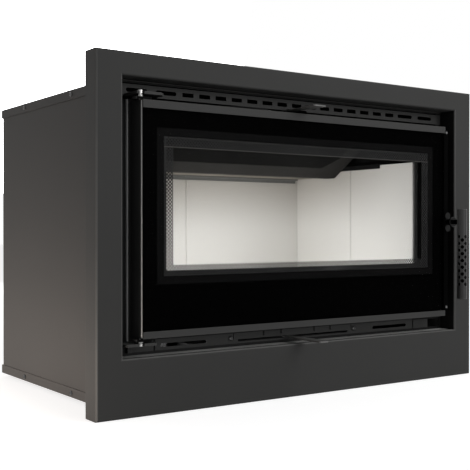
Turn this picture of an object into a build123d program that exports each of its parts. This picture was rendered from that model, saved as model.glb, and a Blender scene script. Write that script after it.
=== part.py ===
"""Fireplace insert: a steel firebox in a sheet casing, with a glazed door and a surround frame.

Millimetres, +Z up, +X to the right as seen from the room, -Y towards the room.
The origin is on the underside of the casing, at the wall plane, midway between the sides.
"""
from build123d import *
import os
from math import cos, radians, sin

# ---------------------------------------------------------------- surround frame
FRAME_WIDTH = 800.0
FRAME_HEIGHT = 544.0
FRAME_DEPTH = 36.0
FRAME_SHEET = 2.0
FRAME_BEND = 3.0            # outside radius of every front bend
FRAME_DROP = 6.0            # the frame hangs this far below the casing
SIDE_BORDER = 43.5
TOP_BORDER = 36.0
BOTTOM_BORDER = 88.0
STRAP_THICKNESS = 3.0
STRAP_HEIGHT = 40.0
STRAP_CORNER = 4.0
STRAP_REACH = 24.0          # along the return, and again along the casing
STRAP_INSET = 70.0          # strap centre from the sill and from the head

# ---------------------------------------------------------------- casing
CASING_DEPTH = 453.0
CASING_SHEET = 1.5
CASING_FLANGE = 16.0        # turned edge of the lid and of the base
CASING_BEND = 2.0
BASE_TONGUE = 22.0          # the base runs on under the frame by this much
FRONT_SETBACK = 3.5         # casing front sheet behind the wall plane
SCREW_PITCH = 200.0
SCREW_FIRST = 137.5         # first flange screw behind the wall plane
BACK_SCREW_PITCH = 360.0
SCREW_HEAD_R = 3.9
SCREW_HEAD_HEIGHT = 2.4
SCREW_SHANK_R = 1.8

# ---------------------------------------------------------------- vent fascias
FASCIA_SHEET = 1.5
UPPER_FASCIA_HEIGHT = 18.3
UPPER_FASCIA_GAP = 5.3      # below the head of the opening
TOP_SLIT = 2.0              # dark slit in the casing front above the fascia
SLOT_HEIGHT = 6.5
SHORT_SLOT = 20.7
SHORT_SLOTS = 15
LONG_SLOT = 37.0
LONG_SLOT_INSETS = (95.8, 43.5)     # slot centres from the ends of the upper fascia
SHORT_SLOT_INSET = 40.2     # last short slot to the first long one
UPPER_SLOT_DROP = 9.2       # slot centre below the fascia's top edge
LOWER_FASCIA_INSET = 75.5   # each end from the side of the opening
LOWER_FASCIA_HEIGHT = 17.5
LOWER_FASCIA_LIFT = 4.0     # above the sill
INLET_SLOT = 86.0
INLET_SLOT_HEIGHT = 5.5
INLET_SLOT_INSET = 56.2     # slot centre from the fascia's end
INLET_SLOT_RISE = 7.5       # slot centre above the fascia's lower edge
FASCIA_SCREW_X = 135.0
NOTCH_PLACES = (-71.0, -34.0, 39.0, 75.5)
NOTCH_WIDTH = 3.0
NOTCH_DEPTH = 7.0
END_PLATE_GAP = 3.0         # small plates beyond the ends of the lower fascia
END_PLATE_WIDTH = 38.5
LOWER_HOLES_SHIFT = -3.5    # the fascia's slots and screws sit this far off its middle
RELIEF_X = 129.0            # relief cuts beside the screws
RELIEF_WIDTH = 1.4
RELIEF_DEPTH = 11.0
CORNER_WINDOW = 33.0        # open corner of the casing front, on the latch side

# ---------------------------------------------------------------- firebox
CHAMBER_FRONT = 10.0
SHELL_REAR_GAP = 59.0       # firebox to the back of the casing
LINING = 25.0
FLOOR_LINING = 30.0
LINING_CHAMFER = 1.6
LINING_JOINT = 0.8
STEEL = 4.0
FIREBOX_HEADROOM = 32.0     # firebox roof below the lid
LANDING = 6.0               # thickness of the plate that the door closes on
LANDING_SIDE_GAP = 25.5     # plate to the side of the opening
LANDING_RIM = 12.0          # plate beyond the side of the firebox
LANDING_EDGE = 1.5
LANDING_SKIRT = 6.6         # plate below the door
LANDING_CREST = 4.0         # plate above the door
MOUTH_SILL_STEP = 6.5       # mouth above the lower edge of the door frame's opening
MOUTH_HEAD_STEP = 3.5       # mouth above the upper edge
MOUTH_TO_FLOOR = 40.0
MOUTH_TO_LINING_TOP = 17.0
MOUTH_CORNER = 5.0
SHELL_MARGIN = 1.5          # the casing front stands this far off the shell
RAIL_INSET = 93.0           # web of the rail from the side of the firebox
RAIL_FLANGE = 26.0
RAIL_SHEET = 2.0
RAIL_START = 60.0
RAIL_END_GAP = 24.0         # rail end before the back of the firebox

# ---------------------------------------------------------------- smoke baffle
HOOD_SHEET = 3.0
HOOD_SLOPE = 33.0           # degrees from level, rising to the front
HOOD_EDGE_GAP = 129.5       # lower edge before the back lining
HOOD_EDGE_DROP = 19.0       # lower edge below the top of the linings
HOOD_REACH = 108.0
HOOD_TAIL = 24.0            # level part under the smoke board
SHIELD_SHEET = 2.0
SHIELD_START = 34.0         # up the slope from the hood's lower edge
SHIELD_SIDE = 40.0          # shield to the side lining
SHIELD_CORNER = 24.0
SHIELD_CORNER_RISE = 35.0
LEDGE_SHEET = 2.0
LEDGE_DROP = 7.0
LEDGE_INSET = 89.0          # ledge behind the front of the linings
BAR_SIDE = 7.0              # end of the bar to the side lining
BAR_HEIGHT = 9.0
BAR_DEPTH = 12.0
BAR_SHEET = 3.0
BOARD = 20.0
BOARD_CLEARANCE = 1.0
BOARD_LAP = 8.0             # the board starts this far behind the hood's edge

# ---------------------------------------------------------------- flue and air
FLUE_R = 87.0               # bore of the flue spigot
FLUE_WALL = 3.0
FLUE_GAP = 135.0            # flue axis before the back lining
FLUE_RISE = 60.0            # above the lid
FLUE_FLANGE = 18.0
LID_HOLE_GAP = 4.0
INTAKE_R = 48.5             # bore of the air intake spigot
INTAKE_WALL = 1.5
INTAKE_Z = 66.0
INTAKE_REACH = 45.0         # behind the casing
INTAKE_FLANGE = 10.0
AIR_BOX_SIDE = 26.0         # duct to the rails
AIR_BOX_FRONT = 8.0
AIR_BOX_REAR_GAP = 23.0
AIR_BOX_RISE = 1.2          # duct above the foot of the lower fascia
COLLECTOR_HALF = 70.0
COLLECTOR_DEPTH = 100.0
COLLECTOR_MARGIN = 2.0      # roof above the intake's flange

# ---------------------------------------------------------------- air slides
SHUTTER = 2.0
SHUTTER_GAP = 0.3
GUIDE = 3.0
LEVER_THICKNESS = 2.5
LOWER_LEVER_REACH = 56.0    # tip in front of the glass
UPPER_LEVER_REACH = 42.0
LOWER_TIP_WIDTH = 20.0
UPPER_TIP_WIDTH = 27.0
LEVER_CORNER = 4.0
LEVER_ROOT_Y = 0.0          # the blade starts to widen here
LEVER_HOLE_R = 1.3
LEVER_HOLE_PITCH = 6.0
LEVER_HOLE_INSET = 6.5
LOWER_LEVER_X = -18.5
LOWER_LEVER_WIDTH = 13.0
LOWER_SLOT_HALF = 120.0
LOWER_SLOT_CLEAR = 0.6      # above and below the lever
UPPER_SLOT_CLEAR = 1.3
LOWER_SHUTTER_HALF = 70.0
LOWER_GUIDE_INSET = 8.0     # guides shorter than the duct's roof
UPPER_LEVER_X = -15.5
UPPER_LEVER_WIDTH = 10.0
UPPER_LEVER_RISE = -1.6     # above the foot of the upper fascia
UPPER_SLOT_HALF = 22.0
UPPER_SHUTTER_HALF = 60.0
UPPER_GUIDE_HALF = 92.0
SHUTTER_DEPTH = 44.0
SHUTTER_FRONT = 14.0
PORT_HALF = 45.0

# ---------------------------------------------------------------- door
DOOR_PROUD = 2.4            # front of the glass before the frame's face
GLASS = 4.0
DOOR_SIDE_GAP = 31.0        # glass to the side of the opening
PRINT = 0.4
DOOR_SILL_GAP = 28.6
DOOR_HEAD_GAP = 33.3
DOOR_BACK_GAP = 1.0
DOOR_SHEET = 2.5
INNER_GLASS = 4.0
INNER_GAP = 0.5             # between the outer glass's print and the inner pane
INNER_PRINT = 0.3
CLIP_SHEET = 1.5
CLIP_REACH = 6.0
CLIP_WIDTH = 14.0
CLIP_INSET = 30.0
PANE_CLEARANCE = 0.4
DOT_BAND = 16.5             # width of the dotted print on the inner pane
PRINT_SIDE = 27.5           # width of the black print at the sides, bottom and top
PRINT_BOTTOM = 80.4
PRINT_TOP = 39.7
DOOR_LIP = 12.5             # the door frame shows this far inside the print
TRIM_HEIGHTS = (10.4, 12.0)  # lower and upper trim
TRIM_SHEET = 1.0
TRIM_ENDS = (-1.2, 1.1)     # beyond the glass at the hinge side and at the latch side
SEAL_R = 5.0
SEAL_CORNER = 14.0
SEAL_INSET = 21.0           # seal centre line outside the door frame's opening
SEAL_CLEARANCE = 0.6
SEAL_LIP = 7.0              # height of the channel's lips
SEAL_SLACK = 0.2            # rope to channel wall
STILE_WIDTH = 10.5
STILE_INSETS = (11.9, 5.2)  # shorter than the door at bottom and top
STILE_SCREW_INSETS = (4.5, 5.5)

# ---------------------------------------------------------------- hinges
HINGE_OUTSET = 0.8          # axis outside the glass
HINGE_SETBACK = 5.4         # axis behind the front of the glass
PIN_R = 3.0
PIN_CLEARANCE = 0.05
PIN_HEAD_R = 4.6
PIN_HEAD_CHAMFER = 0.6
PIN_HEAD_RISE = 2.0         # upper head above its bracket
BUSH_WALL = 1.85
UPPER_BUSH = 6.8
LOWER_BUSH = 6.1
EAR = 4.0
EAR_HALF = 9.0
EAR_LENGTH = 17.5
BRACKET = 4.0
UPPER_BRACKET_GAP = 1.5     # bracket to bush
LOWER_BRACKET_GAP = 0.7
BRACKET_PROUD = 0.6         # before the front of the glass
BRACKET_CHAMFER = 9.0
BRACKET_CORNER = 4.0
BRACKET_LEG_GAP = 1.5       # leg to the end plate
UPPER_BRACKET_SPAN = (8.0, 42.3)    # outward and inward of the axis
LOWER_BRACKET_SPAN = (25.7, 27.0)

# ---------------------------------------------------------------- latch and handle
SPINDLE_OUTSET = 8.5        # axis outside the glass
SPINDLE_DROP = 1.15
SPINDLE_R = 4.5
SPINDLE_CLEARANCE = 0.05
HOUSING_WIDTH = 20.5
HOUSING_HEIGHT = 37.0
HOUSING_SETBACK = 9.5       # housing to the landing plate
ESCUTCHEON = 3.0
ESCUTCHEON_WIDTH = 13.0
ESCUTCHEON_SHIFT = -1.2     # its middle beside the spindle
ESCUTCHEON_HEIGHT = 36.0
DISC_R = 9.5                # disc on the spindle before the door
DISC = 4.0
DISC_GAP = 21.0             # disc behind the tube's axis
BARREL_R = 6.0
NECK_R = 4.0
TUBE_R = 9.0
TUBE_WALL = 1.5
TUBE_PROUD = 35.6           # axis before the front of the glass
TUBE_RISE = 24.0            # above the spindle
TUBE_DROP = 144.0           # below the spindle
TUBE_EDGE = 1.2
CAP = 8.0
HOLE_R = 3.4
HOLE_PITCH = 12.67
HOLE_DROP = 27.5            # first row below the spindle
HOLE_ROWS = 8
HOLE_COLUMNS = 8
CAM_REACH = 20.5
CAM_WIDTH = 8.0
CAM_HUB_R = 7.5
CAM = 6.0
CAM_ANGLE = 90.0            # from straight down, towards the side, with the handle hanging
CAM_GAP = 0.4               # cam to housing
KEEPER_SHEET = 1.2          # spring steel leaf
KEEPER_GAP = 0.7            # leaf to cam
KEEPER_SIDE_GAP = 1.2       # leaf to housing, and leaf to the frame's return
KEEPER_BEND = 4.0
KEEPER_TIP = 3.0            # of the leaf above the spindle's axis
KEEPER_REACH = 16.0         # leaf behind the cam, below the axis
KEEPER_RAMP = 16.0
KEEPER_FOOT = 18.0

# ---------------------------------------------------------------- tied places
OPENING_HALF = FRAME_WIDTH / 2 - SIDE_BORDER
SILL = BOTTOM_BORDER - FRAME_DROP
HEAD = FRAME_HEIGHT - FRAME_DROP - TOP_BORDER
WRAP_HALF = OPENING_HALF + FRAME_SHEET
CASING_HALF = WRAP_HALF + CASING_SHEET
CASING_INNER = WRAP_HALF - CASING_SHEET
CASING_HEIGHT = HEAD
WRAP_BACK = CASING_DEPTH - CASING_SHEET
FASCIA_Y = FRONT_SETBACK - FASCIA_SHEET
LANDING_FRONT = FRONT_SETBACK - LANDING

DOOR_FACE_Y = -FRAME_DEPTH - DOOR_PROUD
GLASS_HALF = OPENING_HALF - DOOR_SIDE_GAP
DOOR_BOTTOM = SILL + DOOR_SILL_GAP
DOOR_TOP = HEAD - DOOR_HEAD_GAP
TRIM_X = (-GLASS_HALF - TRIM_ENDS[0], GLASS_HALF + TRIM_ENDS[1])
CLEAR_HALF = GLASS_HALF - PRINT_SIDE
CLEAR_BOTTOM = DOOR_BOTTOM + PRINT_BOTTOM
CLEAR_TOP = DOOR_TOP - PRINT_TOP
GLASS_BACK = DOOR_FACE_Y + GLASS
DOOR_FRONT = GLASS_BACK + PRINT
DOOR_BACK = LANDING_FRONT - DOOR_BACK_GAP
LIP_HALF = CLEAR_HALF - DOOR_LIP
LIP_BOTTOM = CLEAR_BOTTOM + DOOR_LIP
LIP_TOP = CLEAR_TOP - DOOR_LIP
SEAL_Y = LANDING_FRONT - SEAL_CLEARANCE - SEAL_R
STILE_FRONT = DOOR_FACE_Y + 1.4

LANDING_HALF = OPENING_HALF - LANDING_SIDE_GAP
LANDING_BOTTOM = DOOR_BOTTOM - LANDING_SKIRT
LANDING_TOP = DOOR_TOP + LANDING_CREST
MOUTH_SILL = LIP_BOTTOM + MOUTH_SILL_STEP
MOUTH_HEAD = LIP_TOP + MOUTH_HEAD_STEP
SHELL_HALF = LANDING_HALF - LANDING_RIM
CHAMBER_HALF = SHELL_HALF - STEEL - LINING
CHAMBER_FLOOR = MOUTH_SILL - MOUTH_TO_FLOOR
LINING_TOP = MOUTH_HEAD - MOUTH_TO_LINING_TOP
SHELL_BACK = CASING_DEPTH - SHELL_REAR_GAP
CHAMBER_BACK = SHELL_BACK - STEEL - LINING
SHELL_BOTTOM = CHAMBER_FLOOR - FLOOR_LINING - STEEL
FIREBOX_TOP = HEAD - FIREBOX_HEADROOM
RAIL_X = SHELL_HALF - RAIL_INSET
HOOD_EDGE_Y = CHAMBER_BACK - HOOD_EDGE_GAP
HOOD_EDGE_Z = LINING_TOP - HOOD_EDGE_DROP
SHIELD_HALF = CHAMBER_HALF - SHIELD_SIDE
BAR_HALF = CHAMBER_HALF - BAR_SIDE
BOARD_SEAT = HOOD_EDGE_Z + HOOD_SHEET / 2

UPPER_FASCIA_TOP = HEAD - UPPER_FASCIA_GAP
UPPER_FASCIA_BOTTOM = UPPER_FASCIA_TOP - UPPER_FASCIA_HEIGHT
LOWER_FASCIA_BOTTOM = SILL + LOWER_FASCIA_LIFT
LOWER_FASCIA_TOP = LOWER_FASCIA_BOTTOM + LOWER_FASCIA_HEIGHT
LOWER_FASCIA_HALF = OPENING_HALF - LOWER_FASCIA_INSET
LONG_SLOT_CENTRES = [OPENING_HALF - inset for inset in LONG_SLOT_INSETS]
SHORT_SLOT_PITCH = 2 * (LONG_SLOT_CENTRES[0] - SHORT_SLOT_INSET) / (SHORT_SLOTS - 1)
INLET_SLOT_CENTRE = LOWER_FASCIA_HALF - INLET_SLOT_INSET
END_PLATE_START = LOWER_FASCIA_HALF + END_PLATE_GAP
END_PLATE_END = END_PLATE_START + END_PLATE_WIDTH
FASCIA_SCREW_PLACES = [LOWER_HOLES_SHIFT + side * FASCIA_SCREW_X for side in (-1, 1)]

FLUE_OUTER = FLUE_R + FLUE_WALL
FLUE_Y = CHAMBER_BACK - FLUE_GAP
INTAKE_OUTER = INTAKE_R + INTAKE_WALL
AIR_BOX_HALF = RAIL_X - AIR_BOX_SIDE
AIR_BOX_BACK = CASING_DEPTH - AIR_BOX_REAR_GAP
AIR_BOX_TOP = LOWER_FASCIA_BOTTOM + AIR_BOX_RISE
COLLECTOR_FRONT = AIR_BOX_BACK - COLLECTOR_DEPTH
COLLECTOR_TOP = INTAKE_Z + INTAKE_OUTER + INTAKE_FLANGE + COLLECTOR_MARGIN
LOWER_LEVER_Z = AIR_BOX_TOP + SHUTTER_GAP + SHUTTER
UPPER_LEVER_Z = UPPER_FASCIA_BOTTOM + UPPER_LEVER_RISE
LOWER_GUIDE_HALF = AIR_BOX_HALF - LOWER_GUIDE_INSET

HINGE_X = -GLASS_HALF - HINGE_OUTSET
HINGE_Y = DOOR_FACE_Y + HINGE_SETBACK
UPPER_BRACKET_Z = DOOR_TOP + UPPER_BUSH + UPPER_BRACKET_GAP         # underside
LOWER_BRACKET_Z = DOOR_BOTTOM - LOWER_BUSH - LOWER_BRACKET_GAP      # upper side
BRACKET_FRONT = DOOR_FACE_Y - BRACKET_PROUD
UPPER_BRACKET_X = (HINGE_X - UPPER_BRACKET_SPAN[0], HINGE_X + UPPER_BRACKET_SPAN[1])
LOWER_BRACKET_X = (HINGE_X - LOWER_BRACKET_SPAN[0], HINGE_X + LOWER_BRACKET_SPAN[1])
SPINDLE_X = GLASS_HALF + SPINDLE_OUTSET
SPINDLE_Z = (DOOR_BOTTOM + DOOR_TOP) / 2 - SPINDLE_DROP
HOUSING_RIGHT = GLASS_HALF + HOUSING_WIDTH
HOUSING_BACK = LANDING_FRONT - HOUSING_SETBACK
TUBE_Y = DOOR_FACE_Y - TUBE_PROUD
TUBE_TOP = SPINDLE_Z + TUBE_RISE
TUBE_BOTTOM = SPINDLE_Z - TUBE_DROP
DISC_FRONT = TUBE_Y + DISC_GAP
HOLE_TOP = SPINDLE_Z - HOLE_DROP


# ---------------------------------------------------------------- form helpers
def rect(x, y):
    """Rectangle between two x values and two y values of its plane."""
    return Pos((x[0] + x[1]) / 2, (y[0] + y[1]) / 2) * Rectangle(x[1] - x[0], y[1] - y[0])


def upright(sketch, y):
    """Sheet or plate facing the room: an X-Z sketch through the span y."""
    return extrude(Plane.XZ.offset(-y[1]) * sketch, amount=y[1] - y[0])


def level(sketch, z):
    """Level sheet or plate: an X-Y sketch through the span z."""
    return extrude(Plane.XY.offset(z[0]) * sketch, amount=z[1] - z[0])


def crosswise(sketch, x):
    """Length with a Y-Z profile through the span x."""
    return extrude(Plane.YZ.offset(x[0]) * sketch, amount=x[1] - x[0])


def block(x, y, z):
    """Rectangular solid between the three spans."""
    return level(rect(x, y), z)


def both(half):
    """Symmetric span about the middle."""
    return (-half, half)


def slot(centre, length, height):
    """Round-ended slot in the sheet's own plane."""
    return Pos(*centre) * SlotOverall(length, height)


def rod_y(x, z, radius, y):
    """Round bar along Y."""
    return upright(Pos(x, z) * Circle(radius), y)


def rod_z(x, y, radius, z):
    """Round bar along Z."""
    return level(Pos(x, y) * Circle(radius), z)


def bent(points, sheet, radius, x):
    """Folded sheet of one thickness along a Y-Z middle line, run through the span x."""
    return crosswise(trace(FilletPolyline(*points, radius=radius), line_width=sheet), x)


# ---------------------------------------------------------------- surround
def surround_frame():
    """Folded surround: face, outer flange and the return that lines the opening."""
    outline = rect(both(FRAME_WIDTH / 2), (-FRAME_DROP, FRAME_HEIGHT - FRAME_DROP))
    body = upright(outline, (-FRAME_DEPTH, 0))
    body = fillet(body.faces().sort_by(Axis.Y)[0].edges(), FRAME_BEND)
    hollow = upright(offset(outline, -FRAME_SHEET, kind=Kind.INTERSECTION),
                     (FRAME_SHEET - FRAME_DEPTH, 0))
    opening = rect(both(OPENING_HALF), (SILL, HEAD))
    sleeve = upright(offset(opening, FRAME_SHEET, kind=Kind.INTERSECTION), (-FRAME_DEPTH, 0))
    body = body - (hollow - sleeve) - upright(opening, (-FRAME_DEPTH, 0))
    rim = [e for e in body.edges().filter_by_position(Axis.Y, -FRAME_DEPTH, -FRAME_DEPTH)
           if abs(e.center().X) < OPENING_HALF + 1 and SILL - 1 < e.center().Z < HEAD + 1]
    return fillet(rim, FRAME_BEND)


def frame_straps():
    """Four flat straps that join the frame's returns to the casing sides."""
    plate = RectangleRounded(2 * STRAP_REACH, STRAP_HEIGHT, STRAP_CORNER)
    straps = []
    for z in (SILL + STRAP_INSET, HEAD - STRAP_INSET):
        for side in (-1, 1):
            x = sorted((side * WRAP_HALF, side * (WRAP_HALF + STRAP_THICKNESS)))
            straps.append(crosswise(Pos(0, z) * plate, x))
    return Compound(children=straps)


# ---------------------------------------------------------------- casing
def flange_screw_places():
    """Places and outward directions of the screws in the turned edges."""
    places = []
    for z in (CASING_FLANGE / 2, CASING_HEIGHT - CASING_FLANGE / 2):
        for side in (-1, 1):
            for y in (SCREW_FIRST, SCREW_FIRST + SCREW_PITCH):
                places.append(((side * CASING_HALF, y, z), (side, 0, 0)))
            places.append(((side * BACK_SCREW_PITCH / 2, CASING_DEPTH, z), (0, 1, 0)))
    return places


def screw_plane(place, outward):
    """Work plane on a sheet's outer face, looking outward."""
    return Plane(origin=place, z_dir=outward)


def screw_bores(places, depth):
    """Clearance for the shanks of screws at these places."""
    return [extrude(screw_plane(p, d) * Circle(SCREW_SHANK_R), amount=-depth) for p, d in places]


def pan_screws(places, depth):
    """Low pan-head screws seated on the sheet, with shanks of this length, if any."""
    screw = extrude(Circle(SCREW_HEAD_R), amount=SCREW_HEAD_HEIGHT, taper=18)
    if depth:
        screw += extrude(Circle(SCREW_SHANK_R), amount=-depth)
    return Compound(children=[screw_plane(place, outward) * screw for place, outward in places])


def casing_base():
    """Folded tray that stands on the hearth, with its edges turned up outside the wrap."""
    outside = (both(CASING_HALF), (-BASE_TONGUE, CASING_DEPTH))
    tray = block(*outside, (0, CASING_FLANGE))
    tray = fillet(tray.faces().sort_by(Axis.Z)[0].edges(), CASING_BEND)
    inside = (both(WRAP_HALF), (CASING_SHEET - BASE_TONGUE, WRAP_BACK))
    tray -= block(*inside, (CASING_SHEET, CASING_FLANGE))
    return tray - screw_bores([p for p in flange_screw_places() if p[0][2] < CASING_FLANGE], CASING_SHEET)


def casing_lid():
    """Folded lid with its edges turned down outside the wrap, open for the flue."""
    top = (CASING_HEIGHT - CASING_FLANGE, CASING_HEIGHT)
    tray = block(both(CASING_HALF), (0, CASING_DEPTH), top)
    rim = tray.faces().sort_by(Axis.Z)[-1].edges().sort_by(Axis.Y)[1:]
    tray = fillet(rim, CASING_BEND)
    tray -= block(both(WRAP_HALF), (0, WRAP_BACK), (top[0], top[1] - CASING_SHEET))
    tray -= rod_z(0, FLUE_Y, FLUE_OUTER + LID_HOLE_GAP, top)
    return tray - screw_bores([p for p in flange_screw_places() if p[0][2] > CASING_FLANGE], CASING_SHEET)


def casing_wrap():
    """Sides and back in one folded sheet, between the base and the lid."""
    outline = rect(both(WRAP_HALF), (0, WRAP_BACK))
    outline = fillet(outline.vertices().sort_by(Axis.Y)[-2:], FRAME_BEND)
    inside = rect(both(CASING_INNER), (0, WRAP_BACK - CASING_SHEET))
    wrap = level(outline - inside, (CASING_SHEET, CASING_HEIGHT - CASING_SHEET))
    wrap -= rod_y(0, INTAKE_Z, INTAKE_OUTER + LID_HOLE_GAP / 2, (WRAP_BACK - CASING_SHEET, WRAP_BACK))
    inset = [((p[0] - d[0] * CASING_SHEET, p[1] - d[1] * CASING_SHEET, p[2]), d)
             for p, d in flange_screw_places()]
    return wrap - screw_bores(inset, CASING_SHEET)


def casing_front():
    """Sheet between the casing sides that carries the fascias and the landing plate."""
    sheet = rect(both(CASING_INNER), (CASING_SHEET, CASING_HEIGHT - CASING_SHEET))
    sheet -= rect(both(SHELL_HALF + SHELL_MARGIN), (SHELL_BOTTOM - SHELL_MARGIN, FIREBOX_TOP + SHELL_MARGIN))
    middle = UPPER_FASCIA_TOP - UPPER_SLOT_DROP
    vents = (middle - SLOT_HEIGHT, middle + SLOT_HEIGHT)
    sheet -= rect(both(CASING_INNER - 12), vents)
    sheet -= rect(both(CASING_INNER - 12), (UPPER_FASCIA_TOP, UPPER_FASCIA_TOP + TOP_SLIT))
    sheet -= rect(both(CASING_INNER - 12), (LANDING_TOP, UPPER_FASCIA_BOTTOM))
    sheet -= rect(both(UPPER_SLOT_HALF + 2), (UPPER_FASCIA_BOTTOM - 1, vents[0]))
    inlets = LOWER_FASCIA_BOTTOM + INLET_SLOT_RISE
    sheet -= rect(both(LOWER_FASCIA_HALF - 8), (inlets - 7, inlets + 5))
    right = OPENING_HALF - 1
    sheet -= rect((right - CORNER_WINDOW, right), (LOWER_FASCIA_BOTTOM, LOWER_FASCIA_TOP - 2))
    sheet -= fascia_screw_holes()
    return upright(sheet, (FRONT_SETBACK, FRONT_SETBACK + CASING_SHEET))


def fascia_end_plates():
    """Small plates on the casing front beyond the ends of the lower fascia."""
    plates = []
    for side in (-1, 1):
        x = sorted((side * END_PLATE_START, side * END_PLATE_END))
        z = (LOWER_FASCIA_BOTTOM, LOWER_FASCIA_TOP - FASCIA_SHEET)
        plates.append(upright(rect(x, z), (FASCIA_Y, FRONT_SETBACK)))
    return Compound(children=plates)


def fascia_screw_holes():
    """Round holes of the lower fascia's two screws, in the X-Z plane."""
    z = LOWER_FASCIA_BOTTOM + INLET_SLOT_RISE + 1.5
    return [Pos(x, z) * Circle(SCREW_SHANK_R) for x in FASCIA_SCREW_PLACES]


def fascia_screws():
    """Pan-head screws of the lower fascia."""
    z = LOWER_FASCIA_BOTTOM + INLET_SLOT_RISE + 1.5
    places = [((x, FASCIA_Y, z), (0, -1, 0)) for x in FASCIA_SCREW_PLACES]
    return pan_screws(places, FASCIA_SHEET + CASING_SHEET)


def upper_vent_fascia():
    """Slotted strip above the door: short slots in the middle, two long ones at each end."""
    strip = rect(both(OPENING_HALF), (UPPER_FASCIA_BOTTOM, UPPER_FASCIA_TOP))
    z = UPPER_FASCIA_TOP - UPPER_SLOT_DROP
    for k in range(SHORT_SLOTS):
        x = (k - (SHORT_SLOTS - 1) / 2) * SHORT_SLOT_PITCH
        strip -= rect((x - SHORT_SLOT / 2, x + SHORT_SLOT / 2), (z - SLOT_HEIGHT / 2, z + SLOT_HEIGHT / 2))
    for x in LONG_SLOT_CENTRES:
        for side in (-1, 1):
            strip -= slot((side * x, z), LONG_SLOT, SLOT_HEIGHT)
    notch_top = UPPER_LEVER_Z + LEVER_THICKNESS + UPPER_SLOT_CLEAR
    strip -= rect(both(UPPER_SLOT_HALF), (UPPER_FASCIA_BOTTOM, notch_top))
    return upright(strip, (FASCIA_Y, FRONT_SETBACK))


def lower_vent_fascia():
    """Strip below the door: an inlet slot each side and the long slot of the air lever."""
    strip = rect(both(LOWER_FASCIA_HALF), (LOWER_FASCIA_BOTTOM, LOWER_FASCIA_TOP))
    z = LOWER_FASCIA_BOTTOM + INLET_SLOT_RISE
    for side in (-1, 1):
        strip -= slot((LOWER_HOLES_SHIFT + side * INLET_SLOT_CENTRE, z), INLET_SLOT, INLET_SLOT_HEIGHT)
        x = LOWER_HOLES_SHIFT + side * RELIEF_X
        strip -= rect((x - RELIEF_WIDTH / 2, x + RELIEF_WIDTH / 2),
                      (LOWER_FASCIA_TOP - RELIEF_DEPTH, LOWER_FASCIA_TOP))
    for x in NOTCH_PLACES:
        strip -= rect((x - NOTCH_WIDTH / 2, x + NOTCH_WIDTH / 2),
                      (LOWER_FASCIA_TOP - NOTCH_DEPTH, LOWER_FASCIA_TOP))
    lever = (LOWER_LEVER_Z - LOWER_SLOT_CLEAR, LOWER_LEVER_Z + LEVER_THICKNESS + LOWER_SLOT_CLEAR)
    strip -= rect((LOWER_HOLES_SHIFT - LOWER_SLOT_HALF, LOWER_HOLES_SHIFT + LOWER_SLOT_HALF), lever)
    strip -= fascia_screw_holes()
    return upright(strip, (FASCIA_Y, FRONT_SETBACK))


# ---------------------------------------------------------------- firebox
def landing_plate():
    """Thick front plate of the firebox, which the door seal closes on."""
    plate = rect(both(LANDING_HALF), (LANDING_BOTTOM, LANDING_TOP))
    mouth = Pos(0, (MOUTH_SILL + MOUTH_HEAD) / 2) * RectangleRounded(
        2 * CHAMBER_HALF, MOUTH_HEAD - MOUTH_SILL, MOUTH_CORNER)
    body = upright(plate, (LANDING_FRONT, FRONT_SETBACK))
    body = fillet(body.faces().sort_by(Axis.Y)[0].edges(), LANDING_EDGE)
    return body - upright(mouth, (LANDING_FRONT, FRONT_SETBACK))


def firebox_shell():
    """Welded steel box behind the landing plate, with the flue outlet in its roof."""
    shell = block(both(SHELL_HALF), (FRONT_SETBACK, SHELL_BACK), (SHELL_BOTTOM, FIREBOX_TOP))
    shell -= block(both(SHELL_HALF - STEEL), (FRONT_SETBACK, SHELL_BACK - STEEL),
                   (SHELL_BOTTOM + STEEL, FIREBOX_TOP - STEEL))
    shell -= rod_z(0, FLUE_Y, FLUE_R, (FIREBOX_TOP - STEEL, FIREBOX_TOP))
    shell -= block(both(PORT_HALF), (SHUTTER_FRONT + 8, SHUTTER_FRONT + SHUTTER_DEPTH - 8),
                   (FIREBOX_TOP - STEEL, FIREBOX_TOP))
    return shell


def support_rails():
    """Two folded channels that carry the firebox on the base."""
    z0, z1 = CASING_SHEET, SHELL_BOTTOM
    rails = []
    for side in (-1, 1):
        inner, outer = side * RAIL_X, side * (RAIL_X + RAIL_FLANGE)
        half = RAIL_SHEET / 2
        line = FilletPolyline((outer, z0 + half), (inner, z0 + half), (inner, z1 - half),
                              (outer, z1 - half), radius=RAIL_SHEET)
        rails.append(upright(trace(line, line_width=RAIL_SHEET), (RAIL_START, SHELL_BACK - RAIL_END_GAP)))
    return Compound(children=rails)


def lining_panel(x, y, z, across):
    """Fireproof board with its upright edges eased where panels meet."""
    panel = block(x, y, z)
    edges = panel.edges().filter_by(Axis.Z)
    inner = edges.sort_by(across)
    return chamfer(inner[:2], LINING_CHAMFER)


def linings():
    """Boards that line the chamber: two at the back, two on each side, one on the floor."""
    z = (CHAMBER_FLOOR, LINING_TOP)
    gap = LINING_JOINT / 2
    middle = (CHAMBER_FRONT + CHAMBER_BACK) / 2
    outer = CHAMBER_HALF + LINING
    steel_back = CHAMBER_BACK + LINING
    panels = {
        "back_lining_left": lining_panel((-outer, -gap), (CHAMBER_BACK, steel_back), z, Axis.Y),
        "back_lining_right": lining_panel((gap, outer), (CHAMBER_BACK, steel_back), z, Axis.Y),
        "floor_lining": block(both(outer), (CHAMBER_FRONT, steel_back),
                              (CHAMBER_FLOOR - FLOOR_LINING, CHAMBER_FLOOR)),
    }
    for name, side in (("left", -1), ("right", 1)):
        x = tuple(sorted((side * CHAMBER_HALF, side * outer)))
        across = Axis((0, 0, 0), (side, 0, 0))
        panels["side_lining_%s_front" % name] = lining_panel(x, (CHAMBER_FRONT, middle - gap), z, across)
        panels["side_lining_%s_rear" % name] = lining_panel(x, (middle + gap, CHAMBER_BACK), z, across)
    return panels


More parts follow.
